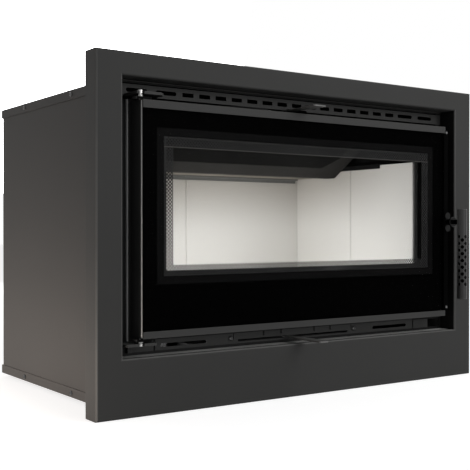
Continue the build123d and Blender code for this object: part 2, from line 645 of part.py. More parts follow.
# ---------------------------------------------------------------- smoke baffle
def hood_point(along):
    """Point of the hood's middle line, this far up the slope from its lower edge."""
    slope = radians(HOOD_SLOPE)
    return (HOOD_EDGE_Y - along * cos(slope), HOOD_EDGE_Z + along * sin(slope))


def baffle_hood():
    """Folded steel deflector that rises to the front and carries the smoke board's edge."""
    line = [(HOOD_EDGE_Y + HOOD_TAIL, HOOD_EDGE_Z), hood_point(0), hood_point(HOOD_REACH)]
    return bent(line, HOOD_SHEET, HOOD_SHEET, both(CHAMBER_HALF - LEDGE_SHEET))


def baffle_shield():
    """Dark plate under the hood, with its lower corners cut off."""
    slope = radians(HOOD_SLOPE)
    y, z = hood_point(0)
    under = HOOD_SHEET / 2
    origin = (0, y - under * sin(slope), z - under * cos(slope))
    plane = Plane(origin=origin, x_dir=(1, 0, 0), z_dir=(0, -sin(slope), -cos(slope)))
    up = -1 if plane.y_dir.Z < 0 else 1
    low, high = up * SHIELD_START, up * (HOOD_REACH - 2)
    knee = up * (SHIELD_START + SHIELD_CORNER_RISE)
    inner = SHIELD_HALF - SHIELD_CORNER
    outline = make_face(Polyline((-inner, low), (inner, low), (SHIELD_HALF, knee), (SHIELD_HALF, high),
                                 (-SHIELD_HALF, high), (-SHIELD_HALF, knee), close=True))
    return extrude(plane * outline, amount=SHIELD_SHEET)


def baffle_ledge(side):
    """Angle hooked over a side lining, on which the hood and the board rest."""
    hook = LINING_TOP - LEDGE_DROP
    half = LEDGE_SHEET / 2
    line = Polyline((side * (CHAMBER_HALF - half), hook), (side * (CHAMBER_HALF - half), LINING_TOP + half),
                    (side * (CHAMBER_HALF + LINING), LINING_TOP + half))
    return upright(trace(line, line_width=LEDGE_SHEET), (CHAMBER_FRONT + LEDGE_INSET, CHAMBER_BACK - 3))


def baffle_bar():
    """Angle along the back lining under the smoke board's rear edge."""
    top = BOARD_SEAT
    half = BAR_SHEET / 2
    line = [(CHAMBER_BACK - BAR_DEPTH, top - half), (CHAMBER_BACK - half, top - half),
            (CHAMBER_BACK - half, top - BAR_HEIGHT)]
    return bent(line, BAR_SHEET, BAR_SHEET, both(BAR_HALF))


def smoke_board():
    """Fireproof board over the rear of the chamber, between the hood and the back lining."""
    y = (HOOD_EDGE_Y + BOARD_LAP, CHAMBER_BACK - BOARD_CLEARANCE)
    half = CHAMBER_HALF - LEDGE_SHEET - BOARD_CLEARANCE
    return block(both(half), y, (BOARD_SEAT, BOARD_SEAT + BOARD))


# ---------------------------------------------------------------- flue and air
def flue_spigot():
    """Flanged collar on the firebox roof that takes the flue pipe."""
    ring = Circle(FLUE_OUTER) - Circle(FLUE_R)
    flange = Circle(FLUE_OUTER + FLUE_FLANGE) - Circle(FLUE_R)
    spigot = level(Pos(0, FLUE_Y) * ring, (FIREBOX_TOP, CASING_HEIGHT + FLUE_RISE))
    return spigot + level(Pos(0, FLUE_Y) * flange, (FIREBOX_TOP, FIREBOX_TOP + FLUE_WALL))


def air_box():
    """Sheet duct under the firebox, from the rear intake to the shutter."""
    def hull(skin):
        low = block(both(AIR_BOX_HALF - skin), (AIR_BOX_FRONT + skin, AIR_BOX_BACK - skin),
                    (CASING_SHEET + skin, AIR_BOX_TOP - skin))
        tall = block(both(COLLECTOR_HALF - skin), (COLLECTOR_FRONT + skin, AIR_BOX_BACK - skin),
                     (CASING_SHEET + skin, COLLECTOR_TOP - skin))
        return low + tall
    box = hull(0) - hull(INTAKE_WALL)
    box -= rod_y(0, INTAKE_Z, INTAKE_R, (AIR_BOX_BACK - INTAKE_WALL, AIR_BOX_BACK))
    return box - block(both(PORT_HALF), (SHUTTER_FRONT + 8, SHUTTER_FRONT + SHUTTER_DEPTH - 8),
                       (AIR_BOX_TOP - INTAKE_WALL, AIR_BOX_TOP))


def intake_spigot():
    """Collar at the back that takes the outside-air pipe."""
    ring = Pos(0, INTAKE_Z) * (Circle(INTAKE_OUTER) - Circle(INTAKE_R))
    flange = Pos(0, INTAKE_Z) * (Circle(INTAKE_OUTER + INTAKE_FLANGE) - Circle(INTAKE_R))
    spigot = upright(ring, (AIR_BOX_BACK, CASING_DEPTH + INTAKE_REACH))
    return spigot + upright(flange, (AIR_BOX_BACK, AIR_BOX_BACK + INTAKE_WALL))


# ---------------------------------------------------------------- air slides
def shutter(x, half, bed):
    """Flat plate that slides over a port, lying on a bed."""
    z = bed + SHUTTER_GAP
    return block((x - half, x + half), (SHUTTER_FRONT, SHUTTER_FRONT + SHUTTER_DEPTH), (z, z + SHUTTER))


def lever(x, width, tip_width, tip_y, foot, reach):
    """Lever with a widening blade: foot is its underside on the plate, reach at the front."""
    half = LEVER_THICKNESS / 2
    back = SHUTTER_FRONT + SHUTTER_DEPTH - 4
    if reach - foot > LEVER_THICKNESS:
        line = FilletPolyline((back, foot + half), (back - 12, foot + half), (back - 22, reach + half),
                              (LEVER_ROOT_Y, reach + half), radius=LEVER_THICKNESS)
    else:
        line = Line((back, reach + half), (LEVER_ROOT_Y, reach + half))
    bar = crosswise(trace(line, line_width=LEVER_THICKNESS), (x - width / 2, x + width / 2))
    tip = tip_width / 2
    blade = make_face(Polyline((x - width / 2, LEVER_ROOT_Y), (x - tip, tip_y), (x + tip, tip_y),
                               (x + width / 2, LEVER_ROOT_Y), close=True))
    blade = fillet(blade.vertices().sort_by(Axis.Y)[:2], LEVER_CORNER)
    for k in (-1, 0, 1):
        blade -= Pos(x + k * LEVER_HOLE_PITCH, tip_y + LEVER_HOLE_INSET) * Circle(LEVER_HOLE_R)
    return bar + level(blade, (reach, reach + LEVER_THICKNESS))


def slide_guides(half, bed):
    """Front fence and rear hooked rail that keep a shutter square."""
    z = bed + SHUTTER_GAP + SHUTTER
    front = SHUTTER_FRONT - SHUTTER_GAP
    fence = block(both(half), (front - GUIDE, front), (bed, z - SHUTTER_GAP))
    rear = SHUTTER_FRONT + SHUTTER_DEPTH + SHUTTER_GAP
    hook = make_face(Polyline((rear, bed), (rear + GUIDE, bed), (rear + GUIDE, z + SHUTTER_GAP + 1.5),
                              (rear - 3, z + SHUTTER_GAP + 1.5), (rear - 3, z + SHUTTER_GAP),
                              (rear, z + SHUTTER_GAP), close=True))
    return Compound(children=[fence, crosswise(hook, both(half))])


# ---------------------------------------------------------------- door
def lip_outline(away):
    """Outline this far outside the door frame's opening, its corners following the seal's."""
    corner = max(SEAL_CORNER + away - SEAL_INSET, 0.5)
    return Pos(0, (LIP_BOTTOM + LIP_TOP) / 2) * RectangleRounded(
        2 * (LIP_HALF + away), LIP_TOP - LIP_BOTTOM + 2 * away, corner)


def lip_ring(away, width, y):
    """Ring of this width that starts this far outside the door frame's opening."""
    return upright(lip_outline(away + width) - lip_outline(away), y)


def door_frame():
    """Folded steel door: face behind the glass, outer wall, opening return and seal channel."""
    outline = rect(both(GLASS_HALF), (DOOR_BOTTOM, DOOR_TOP))
    opening = lip_outline(0)
    face = upright(outline - opening, (DOOR_FRONT, DOOR_FRONT + DOOR_SHEET))
    wall = upright(outline - offset(outline, -DOOR_SHEET, kind=Kind.INTERSECTION), (DOOR_FRONT, DOOR_BACK))
    bed = SEAL_Y - SEAL_R
    inner = lip_ring(0, DOOR_SHEET, (DOOR_FRONT + DOOR_SHEET, bed))
    channel = SEAL_INSET + SEAL_R + DOOR_SHEET
    floor = lip_ring(0, channel, (bed - DOOR_SHEET, bed))
    frame = face + wall + inner + floor
    for away in (SEAL_INSET - SEAL_R - DOOR_SHEET, SEAL_INSET + SEAL_R):
        frame += lip_ring(away, DOOR_SHEET, (bed, bed + SEAL_LIP))
    return frame


def door_seal():
    """Rope seal in the door's rear channel, a closed loop with rounded corners."""
    wire = (Plane.XZ.offset(-SEAL_Y) * lip_outline(SEAL_INSET)).wire()
    start = Plane(origin=wire @ 0, z_dir=wire % 0)
    return sweep(start * Circle(SEAL_R - SEAL_SLACK), path=wire)


def glass_pane():
    """Outer glass."""
    edge = TRIM_SHEET + 0.5
    return upright(rect(both(GLASS_HALF), (DOOR_BOTTOM + edge, DOOR_TOP - edge)), (DOOR_FACE_Y, GLASS_BACK))


def glass_print():
    """Black enamel on the back of the glass, round the clear field."""
    edge = TRIM_SHEET + 0.5
    field = rect(both(CLEAR_HALF), (CLEAR_BOTTOM, CLEAR_TOP))
    border = rect(both(GLASS_HALF), (DOOR_BOTTOM + edge, DOOR_TOP - edge))
    return upright(border - field, (GLASS_BACK, DOOR_FRONT))


def inner_pane():
    """Inner glass, set in the door frame's opening."""
    front = DOOR_FRONT + INNER_GAP + INNER_PRINT
    return upright(lip_outline(-PANE_CLEARANCE), (front, front + INNER_GLASS))


def inner_print():
    """Dotted print round the inner glass."""
    front = DOOR_FRONT + INNER_GAP
    return upright(lip_outline(-PANE_CLEARANCE) - lip_outline(-DOT_BAND), (front, front + INNER_PRINT))


def pane_clips():
    """Four small clips that hold the inner glass in the door frame."""
    y = DOOR_FRONT + INNER_GAP + INNER_PRINT + INNER_GLASS
    clips = []
    for side in (-1, 1):
        for z in (LIP_BOTTOM + CLIP_INSET, LIP_TOP - CLIP_INSET):
            x = sorted((side * LIP_HALF, side * (LIP_HALF - CLIP_REACH)))
            clips.append(block(x, (y, y + CLIP_SHEET), (z - CLIP_WIDTH / 2, z + CLIP_WIDTH / 2)))
    return Compound(children=clips)


def glass_trim(edge_z, inward, height):
    """Angle strip that holds the glass along its top or bottom edge."""
    front = DOOR_FACE_Y - TRIM_SHEET
    sheet = TRIM_SHEET + 0.5
    lip = make_face(Polyline((front, edge_z), (DOOR_FRONT, edge_z), (DOOR_FRONT, edge_z + inward * sheet),
                             (DOOR_FACE_Y, edge_z + inward * sheet),
                             (DOOR_FACE_Y, edge_z + inward * height),
                             (front, edge_z + inward * height), close=True))
    return crosswise(lip, TRIM_X)


def latch_stile():
    """Angle down the latch side of the door, swelling into the bored latch housing."""
    z = (DOOR_BOTTOM + STILE_INSETS[0], DOOR_TOP - STILE_INSETS[1])
    x = (GLASS_HALF, GLASS_HALF + STILE_WIDTH)
    profile = rect(x, (STILE_FRONT, STILE_FRONT + DOOR_SHEET))
    profile += rect((x[0], x[0] + DOOR_SHEET), (STILE_FRONT, DOOR_BACK))
    stile = level(profile, z)
    housing = upright(Pos((GLASS_HALF + HOUSING_RIGHT) / 2, SPINDLE_Z) * RectangleRounded(
        HOUSING_RIGHT - GLASS_HALF, HOUSING_HEIGHT, 3), (STILE_FRONT, HOUSING_BACK))
    relief = rod_y(SPINDLE_X, SPINDLE_Z, CAM_HUB_R + 1, (HOUSING_BACK, DOOR_BACK))
    bore = rod_y(SPINDLE_X, SPINDLE_Z, SPINDLE_R + SPINDLE_CLEARANCE, (STILE_FRONT, HOUSING_BACK))
    return stile + housing - bore - relief


def door_ear(z, corner):
    """Bored ear at a hinge corner of the door, lying on the door's top or bottom edge."""
    plate = rect((HINGE_X - EAR_HALF, HINGE_X + EAR_LENGTH), (HINGE_Y - 5, HINGE_Y + 2 * EAR_HALF - 5))
    plate = fillet(plate.vertices().sort_by(Axis.X)[:2], corner)
    plate -= Pos(HINGE_X, HINGE_Y) * Circle(PIN_R + PIN_CLEARANCE + BUSH_WALL)
    return level(plate, (z, z + EAR))


def hinge_bush(z):
    """Steel bush in a door ear, running on the hinge pin through the span z."""
    bore = PIN_R + PIN_CLEARANCE
    return level(Pos(HINGE_X, HINGE_Y) * (Circle(bore + BUSH_WALL) - Circle(bore)), z)


# ---------------------------------------------------------------- hinges on the insert
def open_seat():
    """Notch at a bracket's front edge in which the head of the hinge pin stands."""
    return Pos(HINGE_X, HINGE_Y) * Circle(PIN_HEAD_R) + rect(
        (HINGE_X - PIN_HEAD_R, HINGE_X + PIN_HEAD_R), (BRACKET_FRONT, HINGE_Y))


def upper_bracket():
    """Plate that reaches forward from the fascia over the door's hinge corner."""
    plate = rect(UPPER_BRACKET_X, (BRACKET_FRONT, FASCIA_Y))
    right = plate.vertices().sort_by(Axis.X)[-2:].sort_by(Axis.Y)[0]
    plate = chamfer(right, BRACKET_CHAMFER) - open_seat()
    return level(plate, (UPPER_BRACKET_Z, UPPER_BRACKET_Z + BRACKET))


def lower_bracket():
    """Plate welded to the landing plate under the door's hinge corner, with a short leg."""
    plate = rect(LOWER_BRACKET_X, (BRACKET_FRONT, LANDING_FRONT))
    plate = fillet(plate.vertices().sort_by(Axis.Y)[:2], BRACKET_CORNER) - open_seat()
    bracket = level(plate, (LOWER_BRACKET_Z - BRACKET, LOWER_BRACKET_Z))
    lap = LANDING_BOTTOM - LOWER_BRACKET_Z + BRACKET
    bracket += block((LOWER_BRACKET_X[0], LOWER_BRACKET_X[1]), (LANDING_FRONT, FASCIA_Y),
                     (LOWER_BRACKET_Z - BRACKET, LOWER_BRACKET_Z - BRACKET + lap))
    return bracket + block((-LANDING_HALF, -END_PLATE_END - BRACKET_LEG_GAP), (LANDING_FRONT, FRONT_SETBACK),
                           (LOWER_FASCIA_BOTTOM, LOWER_BRACKET_Z - BRACKET))


def hinge_pin(foot, top, head):
    """Turned hinge pin whose wide head fills its bracket's notch through the span head."""
    pin = rod_z(HINGE_X, HINGE_Y, PIN_R, (foot, top))
    wide = rod_z(HINGE_X, HINGE_Y, PIN_HEAD_R, head)
    return pin + chamfer(wide.edges().group_by(Axis.Z)[-1], PIN_HEAD_CHAMFER)


def latch_keeper():
    """Spring leaf on the casing front, whose free end stands before the cam."""
    foot = FRONT_SETBACK - KEEPER_SHEET / 2
    crest = HOUSING_BACK + CAM_GAP - KEEPER_GAP - KEEPER_SHEET / 2
    ramp = SPINDLE_Z - KEEPER_REACH
    line = [(foot, ramp - KEEPER_RAMP - KEEPER_FOOT), (foot, ramp - KEEPER_RAMP), (crest, ramp),
            (crest, SPINDLE_Z + KEEPER_TIP), (crest - 3, SPINDLE_Z + KEEPER_TIP + 5)]
    x = (HOUSING_RIGHT + KEEPER_SIDE_GAP, OPENING_HALF - KEEPER_SIDE_GAP)
    return bent(line, KEEPER_SHEET, KEEPER_BEND, x)


# ---------------------------------------------------------------- latch and handle
def spindle():
    """Turned spindle from the handle through the door to the cam."""
    back = LANDING_FRONT - 1.5
    rod = rod_y(SPINDLE_X, SPINDLE_Z, SPINDLE_R, (TUBE_Y, back))
    rod -= rod_z(SPINDLE_X, TUBE_Y, TUBE_R, (SPINDLE_Z - TUBE_R, SPINDLE_Z + TUBE_R))
    neck = rod_y(SPINDLE_X, SPINDLE_Z, NECK_R, (TUBE_Y - 3, TUBE_Y + TUBE_R))
    disc = rod_y(SPINDLE_X, SPINDLE_Z, DISC_R, (DISC_FRONT, DISC_FRONT + DISC))
    disc = chamfer(disc.edges(), 0.6)
    barrel = rod_y(SPINDLE_X, SPINDLE_Z, BARREL_R, (DISC_FRONT, STILE_FRONT - ESCUTCHEON - 0.3))
    return rod + neck + disc + barrel


def latch_cam():
    """Short cam keyed on the spindle's inner end."""
    y = (HOUSING_BACK + CAM_GAP, HOUSING_BACK + CAM_GAP + CAM)
    arm = Rot(0, 0, CAM_ANGLE) * (Pos(0, -CAM_REACH / 2) * Rectangle(CAM_WIDTH, CAM_REACH))
    outline = Pos(SPINDLE_X, SPINDLE_Z) * (Circle(CAM_HUB_R) + arm - Circle(SPINDLE_R))
    return upright(outline, y)


def escutcheon():
    """Round-ended plate round the spindle on the door's face."""
    plate = Pos(SPINDLE_X + ESCUTCHEON_SHIFT, SPINDLE_Z) * Rot(0, 0, 90) * SlotOverall(
        ESCUTCHEON_HEIGHT, ESCUTCHEON_WIDTH)
    plate -= Pos(SPINDLE_X, SPINDLE_Z) * Circle(SPINDLE_R + 0.3)
    return upright(plate, (STILE_FRONT - ESCUTCHEON, STILE_FRONT))


def stile_screws():
    """Pan-head screws at the ends of the latch stile."""
    x = GLASS_HALF + STILE_WIDTH / 2 + 1
    ends = (DOOR_BOTTOM + STILE_INSETS[0] + STILE_SCREW_INSETS[0],
            DOOR_TOP - STILE_INSETS[1] - STILE_SCREW_INSETS[1])
    return pan_screws([((x, STILE_FRONT, z), (0, -1, 0)) for z in ends], 0)


def handle_tube():
    """Perforated hand grip: staggered rows of round holes through a tube."""
    z = (TUBE_BOTTOM + TUBE_EDGE, TUBE_TOP - TUBE_EDGE)
    tube = level(Pos(SPINDLE_X, TUBE_Y) * (Circle(TUBE_R) - Circle(TUBE_R - TUBE_WALL)), z)
    tube -= rod_y(SPINDLE_X, SPINDLE_Z, NECK_R, (TUBE_Y, TUBE_Y + TUBE_R + 1))
    punches = []
    for column in range(HOLE_COLUMNS):
        shift = column % 2
        turn = 360 / HOLE_COLUMNS * column
        for row in range(HOLE_ROWS - shift):
            z = HOLE_TOP - HOLE_PITCH * (row + shift / 2)
            place = Location((SPINDLE_X, TUBE_Y, z), (0, 0, turn))
            punches.append(place * Rot(90, 0, 0) * extrude(Circle(HOLE_R), amount=TUBE_R + 1))
    return tube - punches


def handle_caps():
    """Turned plugs that close the grip, the upper one bored for the spindle's neck."""
    inner = TUBE_R - TUBE_WALL
    caps = []
    for end, inward in ((TUBE_TOP, -1), (TUBE_BOTTOM, 1)):
        lid = rod_z(SPINDLE_X, TUBE_Y, TUBE_R, tuple(sorted((end, end + inward * TUBE_EDGE))))
        outer = lid.edges().sort_by(Axis.Z)[-1 if inward < 0 else 0]
        lid = chamfer(outer, TUBE_EDGE * 0.6)
        depth = (TUBE_TOP - SPINDLE_Z + 12) if inward < 0 else CAP
        span = tuple(sorted((end + inward * TUBE_EDGE, end + inward * depth)))
        plug = rod_z(SPINDLE_X, TUBE_Y, inner, span)
        caps.append(lid + plug)
    caps[0] -= rod_y(SPINDLE_X, SPINDLE_Z, NECK_R, (TUBE_Y - 3, TUBE_Y + TUBE_R))
    return Compound(children=caps)


# ---------------------------------------------------------------- the whole insert
def nodes():
    """Every piece of the insert under its own name."""
    lower_bed, upper_bed = AIR_BOX_TOP, FIREBOX_TOP
    upper_head = (UPPER_BRACKET_Z, UPPER_BRACKET_Z + BRACKET + PIN_HEAD_RISE)
    lower_head = (LOWER_BRACKET_Z - BRACKET, LOWER_BRACKET_Z)
    parts = {
        "surround_frame": surround_frame(),
        "frame_straps": frame_straps(),
        "casing_base": casing_base(),
        "casing_lid": casing_lid(),
        "casing_wrap": casing_wrap(),
        "casing_front": casing_front(),
        "casing_screws": pan_screws(flange_screw_places(), 2 * CASING_SHEET),
        "upper_vent_fascia": upper_vent_fascia(),
        "lower_vent_fascia": lower_vent_fascia(),
        "fascia_screws": fascia_screws(),
        "fascia_end_plates": fascia_end_plates(),
        "landing_plate": landing_plate(),
        "firebox_shell": firebox_shell(),
        "support_rails": support_rails(),
        "baffle_hood": baffle_hood(),
        "baffle_shield": baffle_shield(),
        "baffle_ledge_left": baffle_ledge(-1),
        "baffle_ledge_right": baffle_ledge(1),
        "baffle_bar": baffle_bar(),
        "smoke_board": smoke_board(),
        "flue_spigot": flue_spigot(),
        "air_box": air_box(),
        "intake_spigot": intake_spigot(),
        "lower_slide_guides": slide_guides(LOWER_GUIDE_HALF, lower_bed),
        "upper_slide_guides": slide_guides(UPPER_GUIDE_HALF, upper_bed),
        "lower_shutter": shutter(LOWER_LEVER_X, LOWER_SHUTTER_HALF, lower_bed),
        "lower_air_lever": lever(LOWER_LEVER_X, LOWER_LEVER_WIDTH, LOWER_TIP_WIDTH,
                                 DOOR_FACE_Y - LOWER_LEVER_REACH, LOWER_LEVER_Z, LOWER_LEVER_Z),
        "upper_shutter": shutter(UPPER_LEVER_X, UPPER_SHUTTER_HALF, upper_bed),
        "upper_air_lever": lever(UPPER_LEVER_X, UPPER_LEVER_WIDTH, UPPER_TIP_WIDTH,
                                 DOOR_FACE_Y - UPPER_LEVER_REACH, upper_bed + SHUTTER_GAP + SHUTTER,
                                 UPPER_LEVER_Z),
        "upper_hinge_bracket": upper_bracket(),
        "lower_hinge_bracket": lower_bracket(),
        "upper_hinge_pin": hinge_pin(DOOR_TOP + 0.5, upper_head[0], upper_head),
        "lower_hinge_pin": hinge_pin(lower_head[1], DOOR_BOTTOM - 0.5, lower_head),
        "latch_keeper": latch_keeper(),
        "door_frame": door_frame(),
        "door_seal": door_seal(),
        "glass_pane": glass_pane(),
        "glass_print": glass_print(),
        "inner_pane": inner_pane(),
        "inner_print": inner_print(),
        "pane_clips": pane_clips(),
        "top_glass_trim": glass_trim(DOOR_TOP, -1, TRIM_HEIGHTS[1]),
        "bottom_glass_trim": glass_trim(DOOR_BOTTOM, 1, TRIM_HEIGHTS[0]),
        "latch_stile": latch_stile(),
        "upper_door_ear": door_ear(DOOR_TOP, 5),
        "lower_door_ear": door_ear(DOOR_BOTTOM - EAR, 5),
        "hinge_bushes": Compound(children=[hinge_bush((DOOR_TOP, DOOR_TOP + UPPER_BUSH)),
                                           hinge_bush((DOOR_BOTTOM - LOWER_BUSH, DOOR_BOTTOM))]),
        "stile_screws": stile_screws(),
        "escutcheon": escutcheon(),
        "latch_spindle": spindle(),
        "latch_cam": latch_cam(),
        "handle_tube": handle_tube(),
        "handle_caps": handle_caps(),
    }
    parts.update(linings())
    return parts


def main():
    """Write one file for each piece."""
    os.makedirs("parts", exist_ok=True)
    for name, shape in nodes().items():
        export_step(shape, "parts/%s.step" % name)


main()
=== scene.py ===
"""Looks of a closed fireplace insert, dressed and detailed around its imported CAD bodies."""

import logging
import math
from dataclasses import dataclass, field
from enum import Enum
from typing import Any, Iterator, Sequence, Union

import bmesh
import bpy
from mathutils import Matrix, Vector


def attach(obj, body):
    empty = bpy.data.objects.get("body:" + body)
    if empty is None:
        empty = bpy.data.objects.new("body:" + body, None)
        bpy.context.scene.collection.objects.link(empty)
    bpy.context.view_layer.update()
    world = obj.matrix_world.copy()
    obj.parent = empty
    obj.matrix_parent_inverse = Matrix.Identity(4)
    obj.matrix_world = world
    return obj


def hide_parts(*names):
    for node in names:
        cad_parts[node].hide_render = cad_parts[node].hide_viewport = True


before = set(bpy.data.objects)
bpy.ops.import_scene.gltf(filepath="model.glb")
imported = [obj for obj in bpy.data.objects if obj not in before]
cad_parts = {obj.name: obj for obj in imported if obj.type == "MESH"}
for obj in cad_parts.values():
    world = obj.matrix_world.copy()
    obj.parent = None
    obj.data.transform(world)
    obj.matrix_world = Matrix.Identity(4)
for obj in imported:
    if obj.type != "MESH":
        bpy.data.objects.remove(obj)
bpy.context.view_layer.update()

log = logging.getLogger("insert")

MM = 0.001
Colour = tuple[float, float, float]
Point = tuple[float, float, float]
Range = tuple[float, float]

# The surround's opening, on which painted highlight and painted shade are placed, with a dark joint
# on the sill, in metres.
OPENING_HALF = 358 * MM
OPENING_HEIGHT: Range = (82 * MM, 502 * MM)
OPENING_LIP: Range = (356 * MM, 358.2 * MM)
SILL_LEVEL: Range = (80 * MM, 84 * MM)
SILL_DEPTH: Range = (-36 * MM, -12 * MM)
SILL_JOINT: Range = (-27 * MM, -21.5 * MM)

# How squarely a surface faces an axis to count as square to it, or as bent towards it.
SQUARE = 0.6
BENT = 0.2

BEVEL_SAMPLES = 4
EDGE_TURN: Range = (0.01, 0.25)
PATCHES: Range = (0.2, 0.8)
WHITE = (1.0, 1.0, 1.0, 1.0)


def toned(tone: Colour, factor: float, lift: float = 0.0) -> Colour:
    """Make a tone lighter or darker, but never past white.

    Args:
        tone: The tone.
        factor: What its values are multiplied by.
        lift: What is added to them afterwards.

    Returns:
        The new tone.
    """
    return tuple(min(1.0, c * factor + lift) for c in tone)


# ---------------------------------------------------------------- shader tools
class Value:
    """A number that varies over a surface, as the output socket of a shader node."""

    def __init__(self, tree: "Tree", socket: bpy.types.NodeSocket) -> None:
        """Wrap a socket of a tree."""
        self.tree = tree
        self.socket = socket

    def _math(self, operation: str, first: Any, second: Any = None) -> "Value":
        """Add a Math node.

        Args:
            operation: The node's operation.
            first: Its first operand.
            second: Its second operand, if the operation has one.

        Returns:
            The node's result.
        """
        operands = {0: first} if second is None else {0: first, 1: second}
        return self.tree.value("ShaderNodeMath", {"operation": operation}, operands)

    def __add__(self, other: Any) -> "Value":
        """self + other."""
        return self._math("ADD", self, other)

    __radd__ = __add__

    def __sub__(self, other: Any) -> "Value":
        """self - other."""
        return self._math("SUBTRACT", self, other)

    def __rsub__(self, other: Any) -> "Value":
        """other - self."""
        return self._math("SUBTRACT", other, self)

    def __mul__(self, other: Any) -> "Value":
        """self * other."""
        return self._math("MULTIPLY", self, other)

    def __pow__(self, other: Any) -> "Value":
        """self ** other."""
        return self._math("POWER", self, other)

    def __abs__(self) -> "Value":
        """Distance from nothing."""
        return self._math("ABSOLUTE", self)

    def cosine(self) -> "Value":
        """Cosine of an angle in radians."""
        return self._math("COSINE", self)

    def above(self, limit: float) -> "Value":
        """1 where the value is over the limit, and 0 elsewhere."""
        return self._math("GREATER_THAN", self, limit)

    def below(self, limit: float) -> "Value":
        """0 where the value is over the limit, and 1 elsewhere."""
        return 1.0 - self.above(limit)

    def within(self, limits: Range) -> "Value":
        """1 where the value is between two limits, and 0 elsewhere."""
        return self.above(limits[0]) * self.below(limits[1])

    def larger(self, other: Any) -> "Value":
        """The larger of two values."""
        return self._math("MAXIMUM", self, other)

    def spread(self, limits: Range, ends: Range = (0.0, 1.0)) -> "Value":
        """Map one range to another with soft, clamped ends.

        Args:
            limits: Start and end of the range.
            ends: Results at its start and its end.

        Returns:
            The mapped value.
        """
        settings = {"interpolation_type": "SMOOTHSTEP", "clamp": True}
        return self.tree.value("ShaderNodeMapRange", settings, {
            "Value": self, "From Min": limits[0], "From Max": limits[1],
            "To Min": ends[0], "To Max": ends[1],
        })


Input = Union[Value, bpy.types.NodeSocket, float, Sequence[float]]


class Tree:
    """The node tree of a material or a world, and the few ways in which it grows here."""

    def __init__(self, owner: bpy.types.Material | bpy.types.World) -> None:
        """Give the owner an empty tree."""
        owner.use_nodes = True
        self.owner = owner
        self.nodes = owner.node_tree.nodes
        self.links = owner.node_tree.links
        self.nodes.clear()

    def node(self, kind: str, settings: dict[str, Any] | None = None,
             sockets: dict[Any, Input] | None = None) -> bpy.types.Node:
        """Add a node.

        Args:
            kind: The node's type.
            settings: Its properties, set before its sockets.
            sockets: Values or links of its inputs, by name or number.

        Returns:
            The new node.
        """
        made = self.nodes.new(kind)
        for key, setting in (settings or {}).items():
            setattr(made, key, setting)
        for key, given in (sockets or {}).items():
            source = given.socket if isinstance(given, Value) else given
            if isinstance(source, bpy.types.NodeSocket):
                self.links.new(source, made.inputs[key])
            else:
                made.inputs[key].default_value = source
        return made

    def value(self, kind: str, settings: dict[str, Any], sockets: dict[Any, Input],
              output: int | str = 0) -> Value:
        """Add a node and return one of its outputs as a value."""
        return Value(self, self.node(kind, settings, sockets).outputs[output])

    def place(self) -> bpy.types.NodeSocket:
        """Place on the object, in metres."""
        return self.node("ShaderNodeTexCoord").outputs["Object"]

    def axes(self) -> tuple[Value, ...]:
        """Place on the object along X, Y and Z, each as a value."""
        split = self.node("ShaderNodeSeparateXYZ", {}, {0: self.place()})
        return tuple(Value(self, split.outputs[axis]) for axis in range(3))

    def facing(self, axis: int) -> Value:
        """How squarely the surface faces along one of the object's own axes, 0 to 1."""
        way = self.node("ShaderNodeTexCoord").outputs["Normal"]
        return abs(self.value("ShaderNodeSeparateXYZ", {}, {0: way}, axis))

    def noise(self, size: float, detail: float, stretch: Point = (1.0, 1.0, 1.0)) -> Value:
        """Cloudy noise.

        Args:
            size: Width of one cloud in metres.
            detail: How many finer levels it has.
            stretch: Factor along each axis; above 1 makes it finer there.

        Returns:
            The noise, about 0 to 1.
        """
        scale = tuple(k / size for k in stretch)
        placed = self.node("ShaderNodeMapping", {}, {0: self.place(), 3: scale})
        sockets = {0: placed.outputs[0], "Scale": 1.0, "Detail": detail}
        return self.value("ShaderNodeTexNoise", {}, sockets)

    def mix(self, share: Input, first: Input, second: Input) -> bpy.types.NodeSocket:
        """Blend two colours.

        Args:
            share: How much of the second colour shows, 0 to 1.
            first: Colour at 0.
            second: Colour at 1.

        Returns:
            The blended colour.
        """
        def whole(colour: Input) -> Input:
            return (*colour, 1.0) if isinstance(colour, tuple) else colour
        sockets = {0: share, 6: whole(first), 7: whole(second)}
        return self.node("ShaderNodeMix", {"data_type": "RGBA"}, sockets).outputs[2]

    def _softened(self, radius: float) -> bpy.types.NodeSocket:
        """Surface direction with edges rounded by this radius."""
        settings = {"samples": BEVEL_SAMPLES}
        return self.node("ShaderNodeBevel", settings, {"Radius": radius}).outputs[0]

    def normal(self, height: Value, depth: float, rounding: float) -> bpy.types.NodeSocket:
        """Surface direction with fine relief and softened edges.

        Args:
            height: Relief, 0 to 1.
            depth: Depth of the relief in metres.
            rounding: Radius that edges seem to have, in metres.

        Returns:
            The direction for a shader's Normal.
        """
        sockets = {"Height": height, "Distance": depth, "Strength": 1.0,
                   "Normal": self._softened(rounding)}
        return self.node("ShaderNodeBump", {}, sockets).outputs[0]

    def edges(self, radius: float) -> Value:
        """1 on outer edges of about this radius and 0 on flat surfaces."""
        flat = self.node("ShaderNodeNewGeometry").outputs["Normal"]
        sockets = {0: self._softened(radius), 1: flat}
        turn = self.value("ShaderNodeVectorMath", {"operation": "DOT_PRODUCT"}, sockets, "Value")
        return (1.0 - turn).spread(EDGE_TURN)

    def seen(self) -> Value:
        """1 for what the camera sees, also in a reflection or through glass, and 0 for light."""
        ray = self.node("ShaderNodeLightPath")
        kinds = ("Is Camera Ray", "Is Glossy Ray", "Is Transmission Ray")
        camera, glossy, through = (Value(self, ray.outputs[kind]) for kind in kinds)
        return camera.larger(glossy).larger(through)

    def principled(self, sockets: dict[Any, Input]) -> bpy.types.Material:
        """End the tree in one principled shader and return the material."""
        shader = self.node("ShaderNodeBsdfPrincipled", {}, sockets)
        self.node("ShaderNodeOutputMaterial", {}, {"Surface": shader.outputs[0]})
        return self.owner


